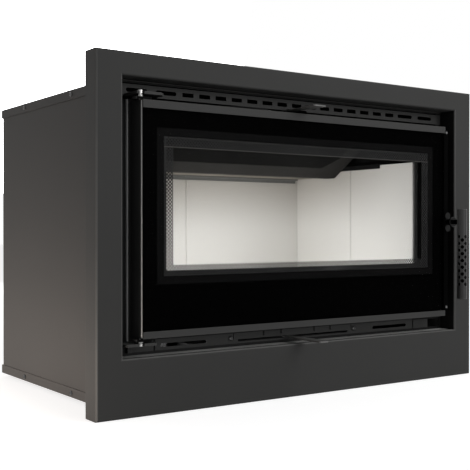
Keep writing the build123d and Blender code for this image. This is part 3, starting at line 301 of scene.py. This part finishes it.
# ---------------------------------------------------------------- finishes
@dataclass(frozen=True)
class StovePaint:
    """Matt heat-proof paint sprayed on steel, with a fine grain, outer edges lighter as rubbed
    paint and as painted highlight, and painted highlight and shade in set places.

    Attributes:
        tone: Colour of the flat paint.
        roughness: Mean roughness.
        specular: Specular level.
        cloud: Strength of the lighter clouds.
        cloud_size: Width of one cloud in metres.
        grain_size: Width of one grain in metres.
        grain_depth: Depth of the grain in metres.
        rub_and_sheen: How much of the lighter tone shows on outer edges, partly as rubbed paint and
            partly as painted highlight.
        rounding: Radius that edges seem to have, in metres.
        end_highlight: Lightness of the painted highlight on sheet ends that face sideways, as a
            factor of the tone.
        highlight_before: Place along X before which such ends lie.
        return_shade: Lightness of the painted shade on the opening's upright returns, as a factor
            of the tone.
        bend_highlight: Lightness of the painted highlight along upright bends, as a factor of the
            tone.
        sill_light: Lightness of the painted light on the opening's sill, as a factor of the tone;
            it also brings a painted highlight on the opening's upright edges and a dark joint
            across the sill.
        shaded_bore: X, Y and radius of an upright hole whose inside gets painted shade, or None.
    """

    tone: Colour
    roughness: float = 0.56
    specular: float = 0.22
    cloud: float = 0.10
    cloud_size: float = 0.16
    grain_size: float = 0.0011
    grain_depth: float = 0.00003
    rub_and_sheen: float = 0.35
    rounding: float = 0.0006
    end_highlight: float = 1.0
    highlight_before: float = -0.30
    return_shade: float = 1.0
    bend_highlight: float = 1.0
    sill_light: float = 1.0
    shaded_bore: Point | None = None

    def material(self, name: str) -> bpy.types.Material:
        """Build the paint under this name."""
        tree = Tree(bpy.data.materials.new(name))
        grain = tree.noise(self.grain_size, 3.0)
        cloud = tree.noise(self.cloud_size, 4.0)
        shade = cloud.spread((0.3, 0.7)) * self.cloud + grain * (self.cloud * 0.6)
        body = tree.mix(shade, self.tone, toned(self.tone, 1.9))
        # Outer edges lighter: partly rubbed paint, partly painted highlight.
        worn_and_lit_edges = tree.edges(self.rounding * 2.0) * self.rub_and_sheen * cloud.spread((0.25, 0.75), (0.4, 1.0))
        colour = tree.mix(worn_and_lit_edges, body, toned(self.tone, 3.0, 0.02))
        for zone, factor in self._zones(tree, cloud):
            colour = tree.mix(zone, colour, toned(self.tone, factor))
        return tree.principled({
            "Base Color": colour,
            "Roughness": self.roughness + (grain - 0.5) * 0.12 + (cloud - 0.5) * 0.10,
            "Specular IOR Level": self.specular,
            "Normal": tree.normal(grain, self.grain_depth, self.rounding),
        })

    def _zones(self, tree: Tree, cloud: Value) -> Iterator[tuple[Value, float]]:
        """Find the zones of painted highlight and painted shade on the paint, and the dark joint on
        the sill.

        Args:
            tree: The paint's tree.
            cloud: The noise by which the painted highlights are uneven.

        Yields:
            Each zone and its lightness as a factor of the tone.
        """
        x, y, z = tree.axes()
        # Painted highlight on the left-lying ends that face sideways.
        if self.end_highlight > 1.0:
            ends = tree.facing(0).above(SQUARE) * x.below(self.highlight_before)
            yield ends * cloud.spread(PATCHES, (0.7, 1.0)), self.end_highlight
        # Painted shade on the opening's upright returns.
        if self.return_shade < 1.0:
            yield tree.facing(0).above(SQUARE) * abs(x).below(OPENING_HALF), self.return_shade
        # Painted highlight along upright bends.
        if self.bend_highlight > 1.0:
            bends = tree.facing(0).above(BENT) * tree.facing(1).above(BENT)
            yield bends * cloud.spread(PATCHES, (0.6, 1.0)), self.bend_highlight
        if self.sill_light > 1.0:
            # Painted light on the opening's sill, lighter towards the back, where the sill lies in
            # shade.
            sill = tree.facing(2).above(SQUARE) * abs(x).below(OPENING_HALF) * z.within(SILL_LEVEL)
            lit_sill = sill * cloud.spread(PATCHES, (0.8, 1.0)) * y.spread(SILL_DEPTH, (0.2, 1.0))
            yield lit_sill, self.sill_light
            yield sill * y.within(SILL_JOINT), 0.1
            # Painted highlight on a narrow upright strip of the front face at the opening's sides.
            lip_highlight = tree.facing(1).above(SQUARE) * abs(x).within(OPENING_LIP)
            yield lip_highlight * z.within(OPENING_HEIGHT), 2.0
        if self.shaded_bore:
            # Painted shade inside the hole.
            outward = (x - self.shaded_bore[0]) ** 2.0 + (y - self.shaded_bore[1]) ** 2.0
            yield outward.below(self.shaded_bore[2] ** 2.0), 0.05


@dataclass(frozen=True)
class FireBoard:
    """Off-white fireproof board: a soft mineral face with fine flecks and shallow pits, and painted
    shade towards its top and back.

    Attributes:
        tone: Colour of the clean board.
        fleck: Colour of its flecks.
        fleck_size: Width of one fleck in metres.
        pit_depth: Depth of the pits in metres.
        shade_tone: Colour that the board takes in its painted shade.
        shade_height: Heights between which the painted shade sets in.
        shade_share: Share of that colour where the painted shade is deepest.
        shade_depth: Depths between which the painted shade deepens, from front to back.
    """

    tone: Colour = (0.80, 0.79, 0.76)
    fleck: Colour = (0.60, 0.57, 0.52)
    fleck_size: float = 0.0035
    pit_depth: float = 0.00012
    shade_tone: Colour = (0.30, 0.27, 0.23)
    shade_height: Range = (0.26, 0.42)
    shade_share: float = 0.70
    shade_depth: Range = (0.02, 0.24)

    def material(self, name: str) -> bpy.types.Material:
        """Build the board under this name."""
        tree = Tree(bpy.data.materials.new(name))
        _, y, z = tree.axes()
        flecks = tree.noise(self.fleck_size, 4.0)
        cloud = tree.noise(0.12, 3.0)
        flecked = flecks.spread((0.55, 0.75)) * 0.35 + cloud * 0.10
        # Painted shade: the board darkens towards the top and the back, under the hood.
        painted_shade = z.spread(self.shade_height) * self.shade_share * y.spread(self.shade_depth, (0.2, 1.0))
        return tree.principled({
            "Base Color": tree.mix(painted_shade, tree.mix(flecked, self.tone, self.fleck), self.shade_tone),
            "Roughness": 0.86 + (flecks - 0.5) * 0.1,
            "Specular IOR Level": 0.2,
            "Normal": tree.normal(flecks, self.pit_depth, 0.0012),
        })


@dataclass(frozen=True)
class ClearPane:
    """Clear fireproof glass with a faint reflection.

    Attributes:
        tint: Colour of what the pane itself adds.
        edge: Colour of its ground edge on the hinge side, lightened as a painted highlight.
        solidity: How much of the tint covers what lies behind.
        specular: Specular level.
    """

    tint: Colour = (0.01, 0.01, 0.01)
    edge: Colour = (0.60, 0.61, 0.61)
    solidity: float = 0.02
    specular: float = 0.015

    def material(self, name: str) -> bpy.types.Material:
        """Build the glass under this name."""
        tree = Tree(bpy.data.materials.new(name))
        smear = tree.noise(0.05, 3.0, (1.0, 1.0, 0.4))
        x, _, _ = tree.axes()
        edge = tree.facing(1).below(0.4)
        # The hinge-side edges are light partly as a ground glass edge and partly as painted
        # highlight.
        made = tree.principled({
            "Base Color": tree.mix(edge * x.below(0.0), self.tint, self.edge),
            "Roughness": 0.04 + smear.spread((0.5, 0.8)) * 0.05,
            "Specular IOR Level": self.specular,
            "Alpha": edge.larger(self.solidity),
        })
        made.surface_render_method = "BLENDED"
        return made


@dataclass(frozen=True)
class Enamel:
    """Black enamel fired on the back of the glass."""

    tone: Colour = (0.0001, 0.0001, 0.0001)

    def material(self, name: str) -> bpy.types.Material:
        """Build the enamel under this name."""
        tree = Tree(bpy.data.materials.new(name))
        mist = tree.noise(0.0012, 2.0)
        return tree.principled({
            "Base Color": tree.mix(mist * 0.4, self.tone, toned(self.tone, 2.5)),
            "Roughness": 0.45 + (mist - 0.5) * 0.1,
            "Specular IOR Level": 0.004,
        })


@dataclass(frozen=True)
class DottedEnamel:
    """Enamel printed as a lattice of small dots, solid at the hinge side, with a thin painted
    highlight line.

    Attributes:
        tone: Colour of the dots.
        pitch: Distance between dots in metres.
        cover: Level of the lattice above which a dot is printed.
        solid_from: Place along X before which the print is solid.
        line: Heights between which a thin lighter line runs, a painted highlight.
        highlight_line_tone: Colour of that painted highlight.
    """

    tone: Colour
    pitch: float = 2.8 * MM
    cover: float = -0.15
    solid_from: float = -281.0 * MM
    line: Range = (400.0 * MM, 401.1 * MM)
    highlight_line_tone: Colour = (0.055, 0.053, 0.050)

    def material(self, name: str) -> bpy.types.Material:
        """Build the dots under this name."""
        tree = Tree(bpy.data.materials.new(name))
        x, _, z = tree.axes()
        turn = math.pi / self.pitch
        lattice = (x * turn).cosine() * (z * turn).cosine()
        # Painted highlight: a thin light line across the print between the given heights.
        line = z.within(self.line)
        dots = tree.mix(tree.noise(0.002, 2.0) * 0.3, self.tone, toned(self.tone, 1.4))
        made = tree.principled({
            "Base Color": tree.mix(line, dots, self.highlight_line_tone),
            "Roughness": 0.6,
            "Specular IOR Level": 0.1,
            "Alpha": lattice.above(self.cover).larger(x.below(self.solid_from)).larger(line),
        })
        made.surface_render_method = "BLENDED"
        return made


@dataclass(frozen=True)
class TurnedSteel:
    """Bare turned or drawn steel with fine tool lines across its length.

    Attributes:
        tone: Colour of the steel.
        roughness: Mean roughness.
        line: Width of one tool line in metres.
        stretch: Factor of the lines along each axis.
    """

    tone: Colour
    roughness: float
    line: float = 0.0004
    stretch: Point = (0.2, 0.2, 1.0)

    def material(self, name: str) -> bpy.types.Material:
        """Build the steel under this name."""
        tree = Tree(bpy.data.materials.new(name))
        lines = tree.noise(self.line, 2.0, self.stretch)
        cloud = tree.noise(0.01, 3.0)
        return tree.principled({
            "Base Color": tree.mix(cloud * 0.3, self.tone, toned(self.tone, 0.6)),
            "Metallic": 1.0,
            "Roughness": self.roughness + (lines - 0.5) * 0.2,
            "Normal": tree.normal(lines, 0.00002, 0.0003),
        })


@dataclass(frozen=True)
class SealRope:
    """Knitted glass-fibre rope, dark grey with lighter threads."""

    tone: Colour = (0.10, 0.10, 0.10)
    thread: Colour = (0.24, 0.24, 0.23)

    def material(self, name: str) -> bpy.types.Material:
        """Build the rope under this name."""
        tree = Tree(bpy.data.materials.new(name))
        threads = tree.noise(0.0009, 3.0)
        return tree.principled({
            "Base Color": tree.mix(threads.spread((0.45, 0.7)) * 0.6, self.tone, self.thread),
            "Roughness": 0.9,
            "Specular IOR Level": 0.2,
            "Normal": tree.normal(threads, 0.0002, 0.0004),
        })


class Finish(Enum):
    """The finishes of the insert, each with the settings that its pieces share."""

    # SURROUND has painted shade on the opening's returns and painted highlight on its bends, sill
    # and upright opening edges.
    SURROUND = StovePaint((0.031, 0.031, 0.0303), specular=0.10, return_shade=0.25,
                          bend_highlight=3.4, sill_light=15.0)
    CASING = StovePaint((0.034, 0.0334, 0.0326), roughness=0.55, specular=0.08,
                        cloud=0.12, cloud_size=0.3)
    STRIP = StovePaint((0.029, 0.029, 0.0284), specular=0.15, cloud=0.06, rub_and_sheen=0.5)
    INNER_STEEL = StovePaint((0.006, 0.006, 0.006), roughness=0.6, specular=0.12,
                             cloud=0.15, rub_and_sheen=0.5)
    # DOOR_STEEL and LANDING have painted highlight on their left-lying sideways ends.
    DOOR_STEEL = StovePaint((0.0014, 0.0014, 0.0014), roughness=0.5, specular=0.02,
                            rub_and_sheen=0.0, end_highlight=30.0)
    LANDING = StovePaint((0.012, 0.012, 0.012), specular=0.12, end_highlight=78.0)
    STILE = StovePaint((0.0006, 0.0006, 0.0006), roughness=0.5, specular=0.008, rub_and_sheen=0.0)
    HOOD = StovePaint((0.023, 0.0222, 0.0212), roughness=0.7, specular=0.1,
                      cloud=0.3, cloud_size=0.08, rub_and_sheen=0.0)
    BAFFLE_EDGE = StovePaint((0.13, 0.13, 0.125), roughness=0.7, cloud=0.2, rub_and_sheen=0.0)
    SHIELD = StovePaint((0.005, 0.005, 0.005), roughness=0.4, specular=0.02, cloud=0.2, rub_and_sheen=0.0)
    LEVER = StovePaint((0.080, 0.079, 0.077), roughness=0.34, specular=0.45, cloud=0.05)
    # GRIP has painted shade inside its hollow.
    GRIP = StovePaint((0.028, 0.028, 0.028), roughness=0.36, specular=0.15, cloud=0.05,
                      grain_size=0.0006, rub_and_sheen=1.0, shaded_bore=(0.334, -0.074, 0.0086))
    BOARD = FireBoard()
    DARKER_BOARD = FireBoard(tone=(0.16, 0.15, 0.14), fleck=(0.10, 0.09, 0.08))
    PANE = ClearPane()
    INNER_PANE = ClearPane(edge=(0.001, 0.001, 0.001), solidity=0.03)
    ENAMEL = Enamel()
    DOTS = DottedEnamel((0.010, 0.010, 0.010))
    STEEL = TurnedSteel((0.34, 0.335, 0.33), 0.26)
    BUSH_STEEL = TurnedSteel((0.16, 0.16, 0.155), 0.22)
    SPINDLE_STEEL = TurnedSteel((0.016, 0.016, 0.016), 0.22)
    DARK_SCREW = TurnedSteel((0.10, 0.10, 0.10), 0.45)
    STILE_SCREW = TurnedSteel((0.12, 0.12, 0.12), 0.5)
    ROPE = SealRope()

    def material(self) -> bpy.types.Material:
        """The finish's material, made once."""
        name = "finish_" + self.name.lower()
        return bpy.data.materials.get(name) or self.value.material(name)


# ---------------------------------------------------------------- mesh tools
def dress(finish: Finish, *nodes: str) -> None:
    """Give carried-over nodes a finish.

    Args:
        finish: The finish.
        *nodes: Names of CAD nodes.
    """
    for name in nodes:
        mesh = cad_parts[name].data
        mesh.materials.clear()
        mesh.materials.append(finish.material())
        log.info("%s dressed as %s", name, finish.name.lower())


def let_light_through(pane: bpy.types.Object) -> None:
    """Let light pass a clear pane as if it weren't there, while the pane still shows."""
    pane.visible_shadow = False
    pane.visible_diffuse = False


def add_piece(name: str, shape: bmesh.types.BMesh, finish: Finish, body: str,
              replaces: Sequence[str] = ()) -> None:
    """Turn a mesh into a piece that rides on a body.

    Args:
        name: The piece's name.
        shape: Its mesh, which is freed.
        finish: Its finish.
        body: The CAD body that carries it.
        replaces: CAD nodes that it stands for.
    """
    bmesh.ops.recalc_face_normals(shape, faces=shape.faces)
    mesh = bpy.data.meshes.new(name)
    shape.to_mesh(mesh)
    shape.free()
    for face in mesh.polygons:
        face.use_smooth = True
    mesh.materials.append(finish.material())
    piece = bpy.data.objects.new(name, mesh)
    bpy.context.scene.collection.objects.link(piece)
    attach(piece, body)
    if replaces:
        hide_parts(*replaces)
    log.info("%s built with %d faces", name, len(mesh.polygons))


Ring = list[bmesh.types.BMVert]


def bridge(shape: bmesh.types.BMesh, low: Ring, high: Ring) -> None:
    """Join two rings of the same count with faces."""
    for k in range(len(low)):
        after = (k + 1) % len(low)
        shape.faces.new((low[k], low[after], high[after], high[k]))


# ---------------------------------------------------------------- screws
@dataclass(frozen=True)
class PanScrew:
    """Domed screw head with a six-sided socket.

    Attributes:
        radius: Radius of the head.
        height: Height of the head.
        socket: Radius of the socket.
        socket_depth: Depth of the socket.
        dome: Rings of the dome, as shares of the head's radius and height.
        rim: Radius of the flat round the socket, as a factor of the socket's.
        sides: Corners of each ring.
    """

    radius: float = 3.9 * MM
    height: float = 2.4 * MM
    socket: float = 1.6 * MM
    socket_depth: float = 1.3 * MM
    dome: tuple[Range, ...] = ((1.0, 0.0), (1.0, 0.35), (0.86, 0.72), (0.6, 0.95))
    rim: float = 1.2
    sides: int = 24

    def add(self, shape: bmesh.types.BMesh, place: Point, outward: Point) -> None:
        """Add one head to a mesh.

        Args:
            shape: The mesh to add to.
            place: Where the head sits.
            outward: The way it faces.
        """
        turn = Vector(outward).to_track_quat("Z", "Y").to_matrix().to_4x4()
        seat = Matrix.Translation(Vector(place)) @ turn
        rings = [self._ring(shape, seat, self.radius * wide, self.height * high)
                 for wide, high in self.dome]
        rings.append(self._ring(shape, seat, self.socket * self.rim, self.height))
        for z in (self.height, self.height - self.socket_depth):
            rings.append(self._ring(shape, seat, self.socket, z, hexagon=True))
        for low, high in zip(rings, rings[1:]):
            bridge(shape, low, high)
        shape.faces.new(rings[-1])
        shape.faces.new(list(reversed(rings[0])))

    def _ring(self, shape: bmesh.types.BMesh, seat: Matrix, radius: float, z: float,
              hexagon: bool = False) -> Ring:
        """Add a ring of vertices, round or six-sided."""
        ring = []
        for k in range(self.sides):
            angle = 2 * math.pi * k / self.sides
            reach = radius
            if hexagon:
                sixth = math.pi / 3
                reach = radius * math.cos(sixth / 2) / math.cos(angle % sixth - sixth / 2)
            spot = Vector((reach * math.cos(angle), reach * math.sin(angle), z))
            ring.append(shape.verts.new(seat @ spot))
        return ring


# ---------------------------------------------------------------- sub-assemblies
@dataclass
class Casing:
    """Sheet casing: tray, lid, wrap, front sheet and their screws.

    Attributes:
        half_width: Half the casing's width.
        depth: Depth of its back face.
        height: Its height.
        flange: Width of its turned edges.
        first_screw: Depth of the first screw in each side.
        screw_pitch: Distance between the side screws.
        back_screw: Distance of the back screws from the middle.
        screw: The screws' heads.
    """

    half_width: float = 360 * MM
    depth: float = 453 * MM
    height: float = 502 * MM
    flange: float = 16 * MM
    first_screw: float = 137.5 * MM
    screw_pitch: float = 200 * MM
    back_screw: float = 180 * MM
    screw: PanScrew = field(default_factory=PanScrew)

    def screw_places(self) -> list[tuple[Point, Point]]:
        """Places and directions of the screws in the turned edges."""
        places = []
        for z in (self.flange / 2, self.height - self.flange / 2):
            for side in (-1, 1):
                for k in range(2):
                    y = self.first_screw + k * self.screw_pitch
                    places.append(((side * self.half_width, y, z), (side, 0.0, 0.0)))
                places.append(((side * self.back_screw, self.depth, z), (0.0, 1.0, 0.0)))
        return places

    def build(self) -> None:
        """Dress the sheets and set the screws."""
        dress(Finish.CASING, "casing_base", "casing_lid", "casing_wrap")
        dress(Finish.INNER_STEEL, "casing_front", "support_rails")
        shape = bmesh.new()
        for place, outward in self.screw_places():
            self.screw.add(shape, place, outward)
        add_piece("casing_screw_heads", shape, Finish.DARK_SCREW, "insert",
                  ["casing_screws"])


@dataclass
class Surround:
    """Deep folded frame round the insert's face."""

    def build(self) -> None:
        """Dress the frame and its straps."""
        dress(Finish.SURROUND, "surround_frame", "frame_straps")


@dataclass
class Fascias:
    """Slotted strips above and below the door.

    Attributes:
        front: Depth of the strips' front faces.
        screw_x: Places of the two screws along X.
        screw_z: Their height.
        screw: The screws' heads.
    """

    front: float = 2.0 * MM
    screw_x: Range = (-138.5 * MM, 131.5 * MM)
    screw_z: float = 95 * MM
    screw: PanScrew = field(default_factory=lambda: PanScrew(4.2 * MM, 2.4 * MM, 1.9 * MM))

    def build(self) -> None:
        """Dress the strips and set the two screws."""
        dress(Finish.STRIP, "upper_vent_fascia", "lower_vent_fascia", "fascia_end_plates")
        shape = bmesh.new()
        for x in self.screw_x:
            self.screw.add(shape, (x, self.front, self.screw_z), (0.0, -1.0, 0.0))
        add_piece("fascia_screw_heads", shape, Finish.DARK_SCREW, "insert",
                  ["fascia_screws"])


@dataclass
class Firebox:
    """Steel box, its front plate and the boards that line it."""

    def build(self) -> None:
        """Dress the steel, the boards and the baffle."""
        dress(Finish.INNER_STEEL, "firebox_shell", "baffle_ledge_left", "baffle_ledge_right")
        dress(Finish.LANDING, "landing_plate")
        dress(Finish.BAFFLE_EDGE, "baffle_bar")
        dress(Finish.BOARD, *[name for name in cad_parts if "lining" in name])
        dress(Finish.DARKER_BOARD, "smoke_board")
        dress(Finish.HOOD, "baffle_hood")
        dress(Finish.SHIELD, "baffle_shield")


@dataclass
class AirWays:
    """Flue collar, air intake, duct and the two sliding shutters."""

    def build(self) -> None:
        """Dress the collars, the duct and the slides."""
        dress(Finish.INNER_STEEL, "flue_spigot", "air_box", "intake_spigot",
              "lower_slide_guides", "upper_slide_guides", "lower_shutter", "upper_shutter")
        dress(Finish.LEVER, "lower_air_lever", "upper_air_lever")


@dataclass
class Hinges:
    """Brackets, pins and bushes at the door's left edge, and the latch's spring leaf."""

    def build(self) -> None:
        """Dress the brackets, the turned pieces and the leaf."""
        dress(Finish.STRIP, "upper_hinge_bracket", "lower_hinge_bracket")
        dress(Finish.STEEL, "upper_hinge_pin", "lower_hinge_pin")
        dress(Finish.BUSH_STEEL, "hinge_bushes")
        dress(Finish.DOOR_STEEL, "upper_door_ear", "lower_door_ear")
        dress(Finish.DARK_SCREW, "latch_keeper")


@dataclass
class Door:
    """Glazed door with its frame, prints, seal and latch stile.

    Attributes:
        screw_x: Place of the stile's screws along X.
        screw_front: Depth of the stile's front face.
        screw_ends: Heights of the two screws.
        screw: The screws' heads.
    """

    screw_x: float = 331.75 * MM
    screw_front: float = -37 * MM
    screw_ends: Range = (127.0 * MM, 458.0 * MM)
    screw: PanScrew = field(default_factory=lambda: PanScrew(2.6 * MM, 1.8 * MM, 1.1 * MM))

    def build(self) -> None:
        """Dress the door and set the stile's screws."""
        dress(Finish.DOOR_STEEL, "door_frame", "pane_clips")
        dress(Finish.STILE, "latch_stile")
        dress(Finish.STRIP, "top_glass_trim", "bottom_glass_trim")
        dress(Finish.PANE, "glass_pane")
        dress(Finish.INNER_PANE, "inner_pane")
        dress(Finish.ENAMEL, "glass_print")
        dress(Finish.DOTS, "inner_print")
        for name in ("glass_pane", "inner_pane", "inner_print"):
            let_light_through(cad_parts[name])
        dress(Finish.ROPE, "door_seal")
        dress(Finish.SPINDLE_STEEL, "escutcheon")
        shape = bmesh.new()
        for z in self.screw_ends:
            self.screw.add(shape, (self.screw_x, self.screw_front, z), (0.0, -1.0, 0.0))
        add_piece("stile_screw_heads", shape, Finish.STILE_SCREW, "door",
                  ["stile_screws"])


@dataclass
class Handle:
    """Perforated grip, its plugs, the spindle, the cam, and a dark threaded core inside the grip
    that stands in for the shade seen through its holes.

    Attributes:
        core_place: X and Y of the core's axis.
        core_ends: Heights of its ends.
        core_radius: Its radius over the thread.
        thread_depth: Depth of the thread.
        thread_pitch: Distance between two crests.
        sides: Corners of each ring.
    """

    core_place: Range = (334 * MM, -74 * MM)
    core_ends: Range = (152 * MM, 276 * MM)
    core_radius: float = 6.9 * MM
    thread_depth: float = 0.4 * MM
    thread_pitch: float = 2.0 * MM
    sides: int = 20

    def build(self) -> None:
        """Dress the handle's pieces and set the dark core."""
        dress(Finish.GRIP, "handle_tube", "handle_caps")
        dress(Finish.SPINDLE_STEEL, "latch_spindle", "latch_cam")
        self._add_shade_core()

    def _add_shade_core(self) -> None:
        """Add a dark threaded core, put where only shade shows through the holes."""
        shape = bmesh.new()
        low_end, high_end = self.core_ends
        steps = round((high_end - low_end) / (self.thread_pitch / 2))
        rings = [self._ring(shape, self.core_radius - (k % 2) * self.thread_depth,
                            low_end + k * self.thread_pitch / 2) for k in range(steps + 1)]
        for low, high in zip(rings, rings[1:]):
            bridge(shape, low, high)
        shape.faces.new(rings[0])
        shape.faces.new(rings[-1])
        # Painted shade: the dark core stands in for the shade inside the grip.
        add_piece("grip_shade_core", shape, Finish.STILE, "handle")

    def _ring(self, shape: bmesh.types.BMesh, radius: float, z: float) -> Ring:
        """Add a ring of vertices round the core's axis."""
        x, y = self.core_place
        turns = [2 * math.pi * n / self.sides for n in range(self.sides)]
        return [shape.verts.new((x + radius * math.cos(turn), y + radius * math.sin(turn), z))
                for turn in turns]


# ---------------------------------------------------------------- studio
@dataclass(frozen=True)
class SoftBox:
    """Area lamp that points at a target.

    Attributes:
        name: The lamp's name.
        place: Where it stands.
        target: What it points at.
        size: Its width in metres.
        power: Its power in watts.
        height: Its height in metres, or None for a square.
        colour: Colour of its light.
        hidden: Whether it lights without showing in anything.
        spread: Angle of its beam in degrees.
    """

    name: str
    place: Point
    target: Point
    size: float
    power: float
    height: float | None = None
    colour: Colour = (1.0, 1.0, 1.0)
    hidden: bool = False
    spread: float = 180.0

    def build(self) -> None:
        """Set the lamp."""
        lamp = bpy.data.lights.new(self.name, "AREA")
        lamp.shape = "RECTANGLE"
        lamp.size = self.size
        lamp.size_y = self.height or self.size
        lamp.spread = math.radians(self.spread)
        lamp.energy = self.power
        lamp.color = self.colour
        holder = bpy.data.objects.new(self.name, lamp)
        holder.location = self.place
        way = Vector(self.target) - Vector(self.place)
        holder.rotation_euler = way.to_track_quat("-Z", "Y").to_euler()
        shows = not self.hidden
        holder.visible_camera = holder.visible_glossy = holder.visible_transmission = shows
        bpy.context.scene.collection.objects.link(holder)


@dataclass
class Studio:
    """White studio: camera, floor, world light and lamps.

    Attributes:
        camera_place: Where the camera stands.
        camera_turn: How far it turns to the right, in degrees.
        camera_dip: How far it looks down, in degrees.
        lens: Focal length in millimetres.
        sensor: Width of the sensor in millimetres.
        floor_level: Height of the floor.
        floor_size: Width of the floor.
        floor_tone: How light the floor's paper is.
        floor_glow: Light that it adds where it shows, so that it meets the white world.
        ambient: Strength of the world's light.
        lamps: The lamps.
    """

    camera_place: Point = (-0.9828, -1.2315, 0.2747)
    camera_turn: float = 34.67
    camera_dip: float = 0.36
    lens: float = 69.675
    sensor: float = 36.0
    floor_level: float = -6.2 * MM
    floor_size: float = 30.0
    floor_tone: float = 0.55
    floor_glow: float = 0.72
    ambient: float = 0.30
    lamps: tuple[SoftBox, ...] = (
        SoftBox("front_lamp", (0.7, -3.0, 0.80), (0.0, 0.0, 0.28), 1.6, 33.0),
        SoftBox("top_lamp", (0.9, -1.1, 1.5), (0.1, 0.0, 0.42), 1.4, 13.4),
        SoftBox("rear_lamp", (0.9, 2.9, 1.3), (0.0, 0.3, 0.25), 1.8, 34.0),
        SoftBox("side_lamp", (-0.64, 0.34, 0.02), (-0.36, 0.34, 0.03), 0.9, 3.6, 0.05,
                colour=(1.0, 0.86, 0.76), hidden=True),
        SoftBox("chamber_lamp", (0.0, 0.015, 0.21), (0.10, 0.40, 0.06), 0.24, 0.29, 0.08,
                hidden=True),
        SoftBox("wall_lamp", (-0.272, 0.14, 0.17), (0.29, 0.10, 0.14), 0.22, 1.35, 0.20,
                hidden=True, spread=110.0),
    )

    def build(self) -> None:
        """Set the camera, floor, world and lamps."""
        self._add_camera()
        self._add_floor()
        self._light_world()
        for lamp in self.lamps:
            lamp.build()
        bpy.context.scene.view_settings.view_transform = "Standard"

    def _add_camera(self) -> None:
        """Stand the camera where the picture was taken from."""
        data = bpy.data.cameras.new("camera")
        data.lens = self.lens
        data.sensor_width = self.sensor
        camera = bpy.data.objects.new("camera", data)
        camera.location = self.camera_place
        turns = (90.0 - self.camera_dip, 0.0, -self.camera_turn)
        camera.rotation_euler = tuple(math.radians(turn) for turn in turns)
        bpy.context.scene.collection.objects.link(camera)
        bpy.context.scene.camera = camera

    def _add_floor(self) -> None:
        """Lay a pale floor that keeps a faint shadow."""
        tree = Tree(bpy.data.materials.new("floor_paper"))
        tone = (self.floor_tone, self.floor_tone, self.floor_tone, 1.0)
        paper = tree.node("ShaderNodeBsdfDiffuse", {}, {"Color": tone}).outputs[0]
        glow = {"Color": WHITE, "Strength": self.floor_glow}
        light = tree.node("ShaderNodeEmission", {}, glow).outputs[0]
        lit = tree.node("ShaderNodeAddShader", {}, {0: light, 1: paper}).outputs[0]
        surface = tree.node("ShaderNodeMixShader", {}, {0: tree.seen(), 1: paper, 2: lit})
        tree.node("ShaderNodeOutputMaterial", {}, {"Surface": surface.outputs[0]})
        shape = bmesh.new()
        bmesh.ops.create_grid(shape, x_segments=1, y_segments=1, size=self.floor_size / 2)
        mesh = bpy.data.meshes.new("floor")
        shape.to_mesh(mesh)
        shape.free()
        mesh.materials.append(tree.owner)
        floor = bpy.data.objects.new("floor", mesh)
        floor.location = (0.0, 0.0, self.floor_level)
        bpy.context.scene.collection.objects.link(floor)

    def _light_world(self) -> None:
        """Light the world softly and show it white behind the insert."""
        world = bpy.data.worlds.new("studio")
        bpy.context.scene.world = world
        tree = Tree(world)
        light, white = (
            tree.node("ShaderNodeBackground", {}, {"Color": WHITE, "Strength": strength}).outputs[0]
            for strength in (self.ambient, 1.0))
        blend = tree.node("ShaderNodeMixShader", {}, {0: tree.seen(), 1: light, 2: white})
        tree.node("ShaderNodeOutputWorld", {}, {"Surface": blend.outputs[0]})


def main() -> None:
    """Build every sub-assembly in order, then the studio round it."""
    logging.basicConfig(level=logging.INFO, format="%(name)s: %(message)s")
    for part in (Casing(), Surround(), Fascias(), Firebox(), AirWays(), Hinges(), Door(), Handle()):
        log.info("building %s", type(part).__name__)
        part.build()
    Studio().build()


if __name__ == "__main__":
    main()
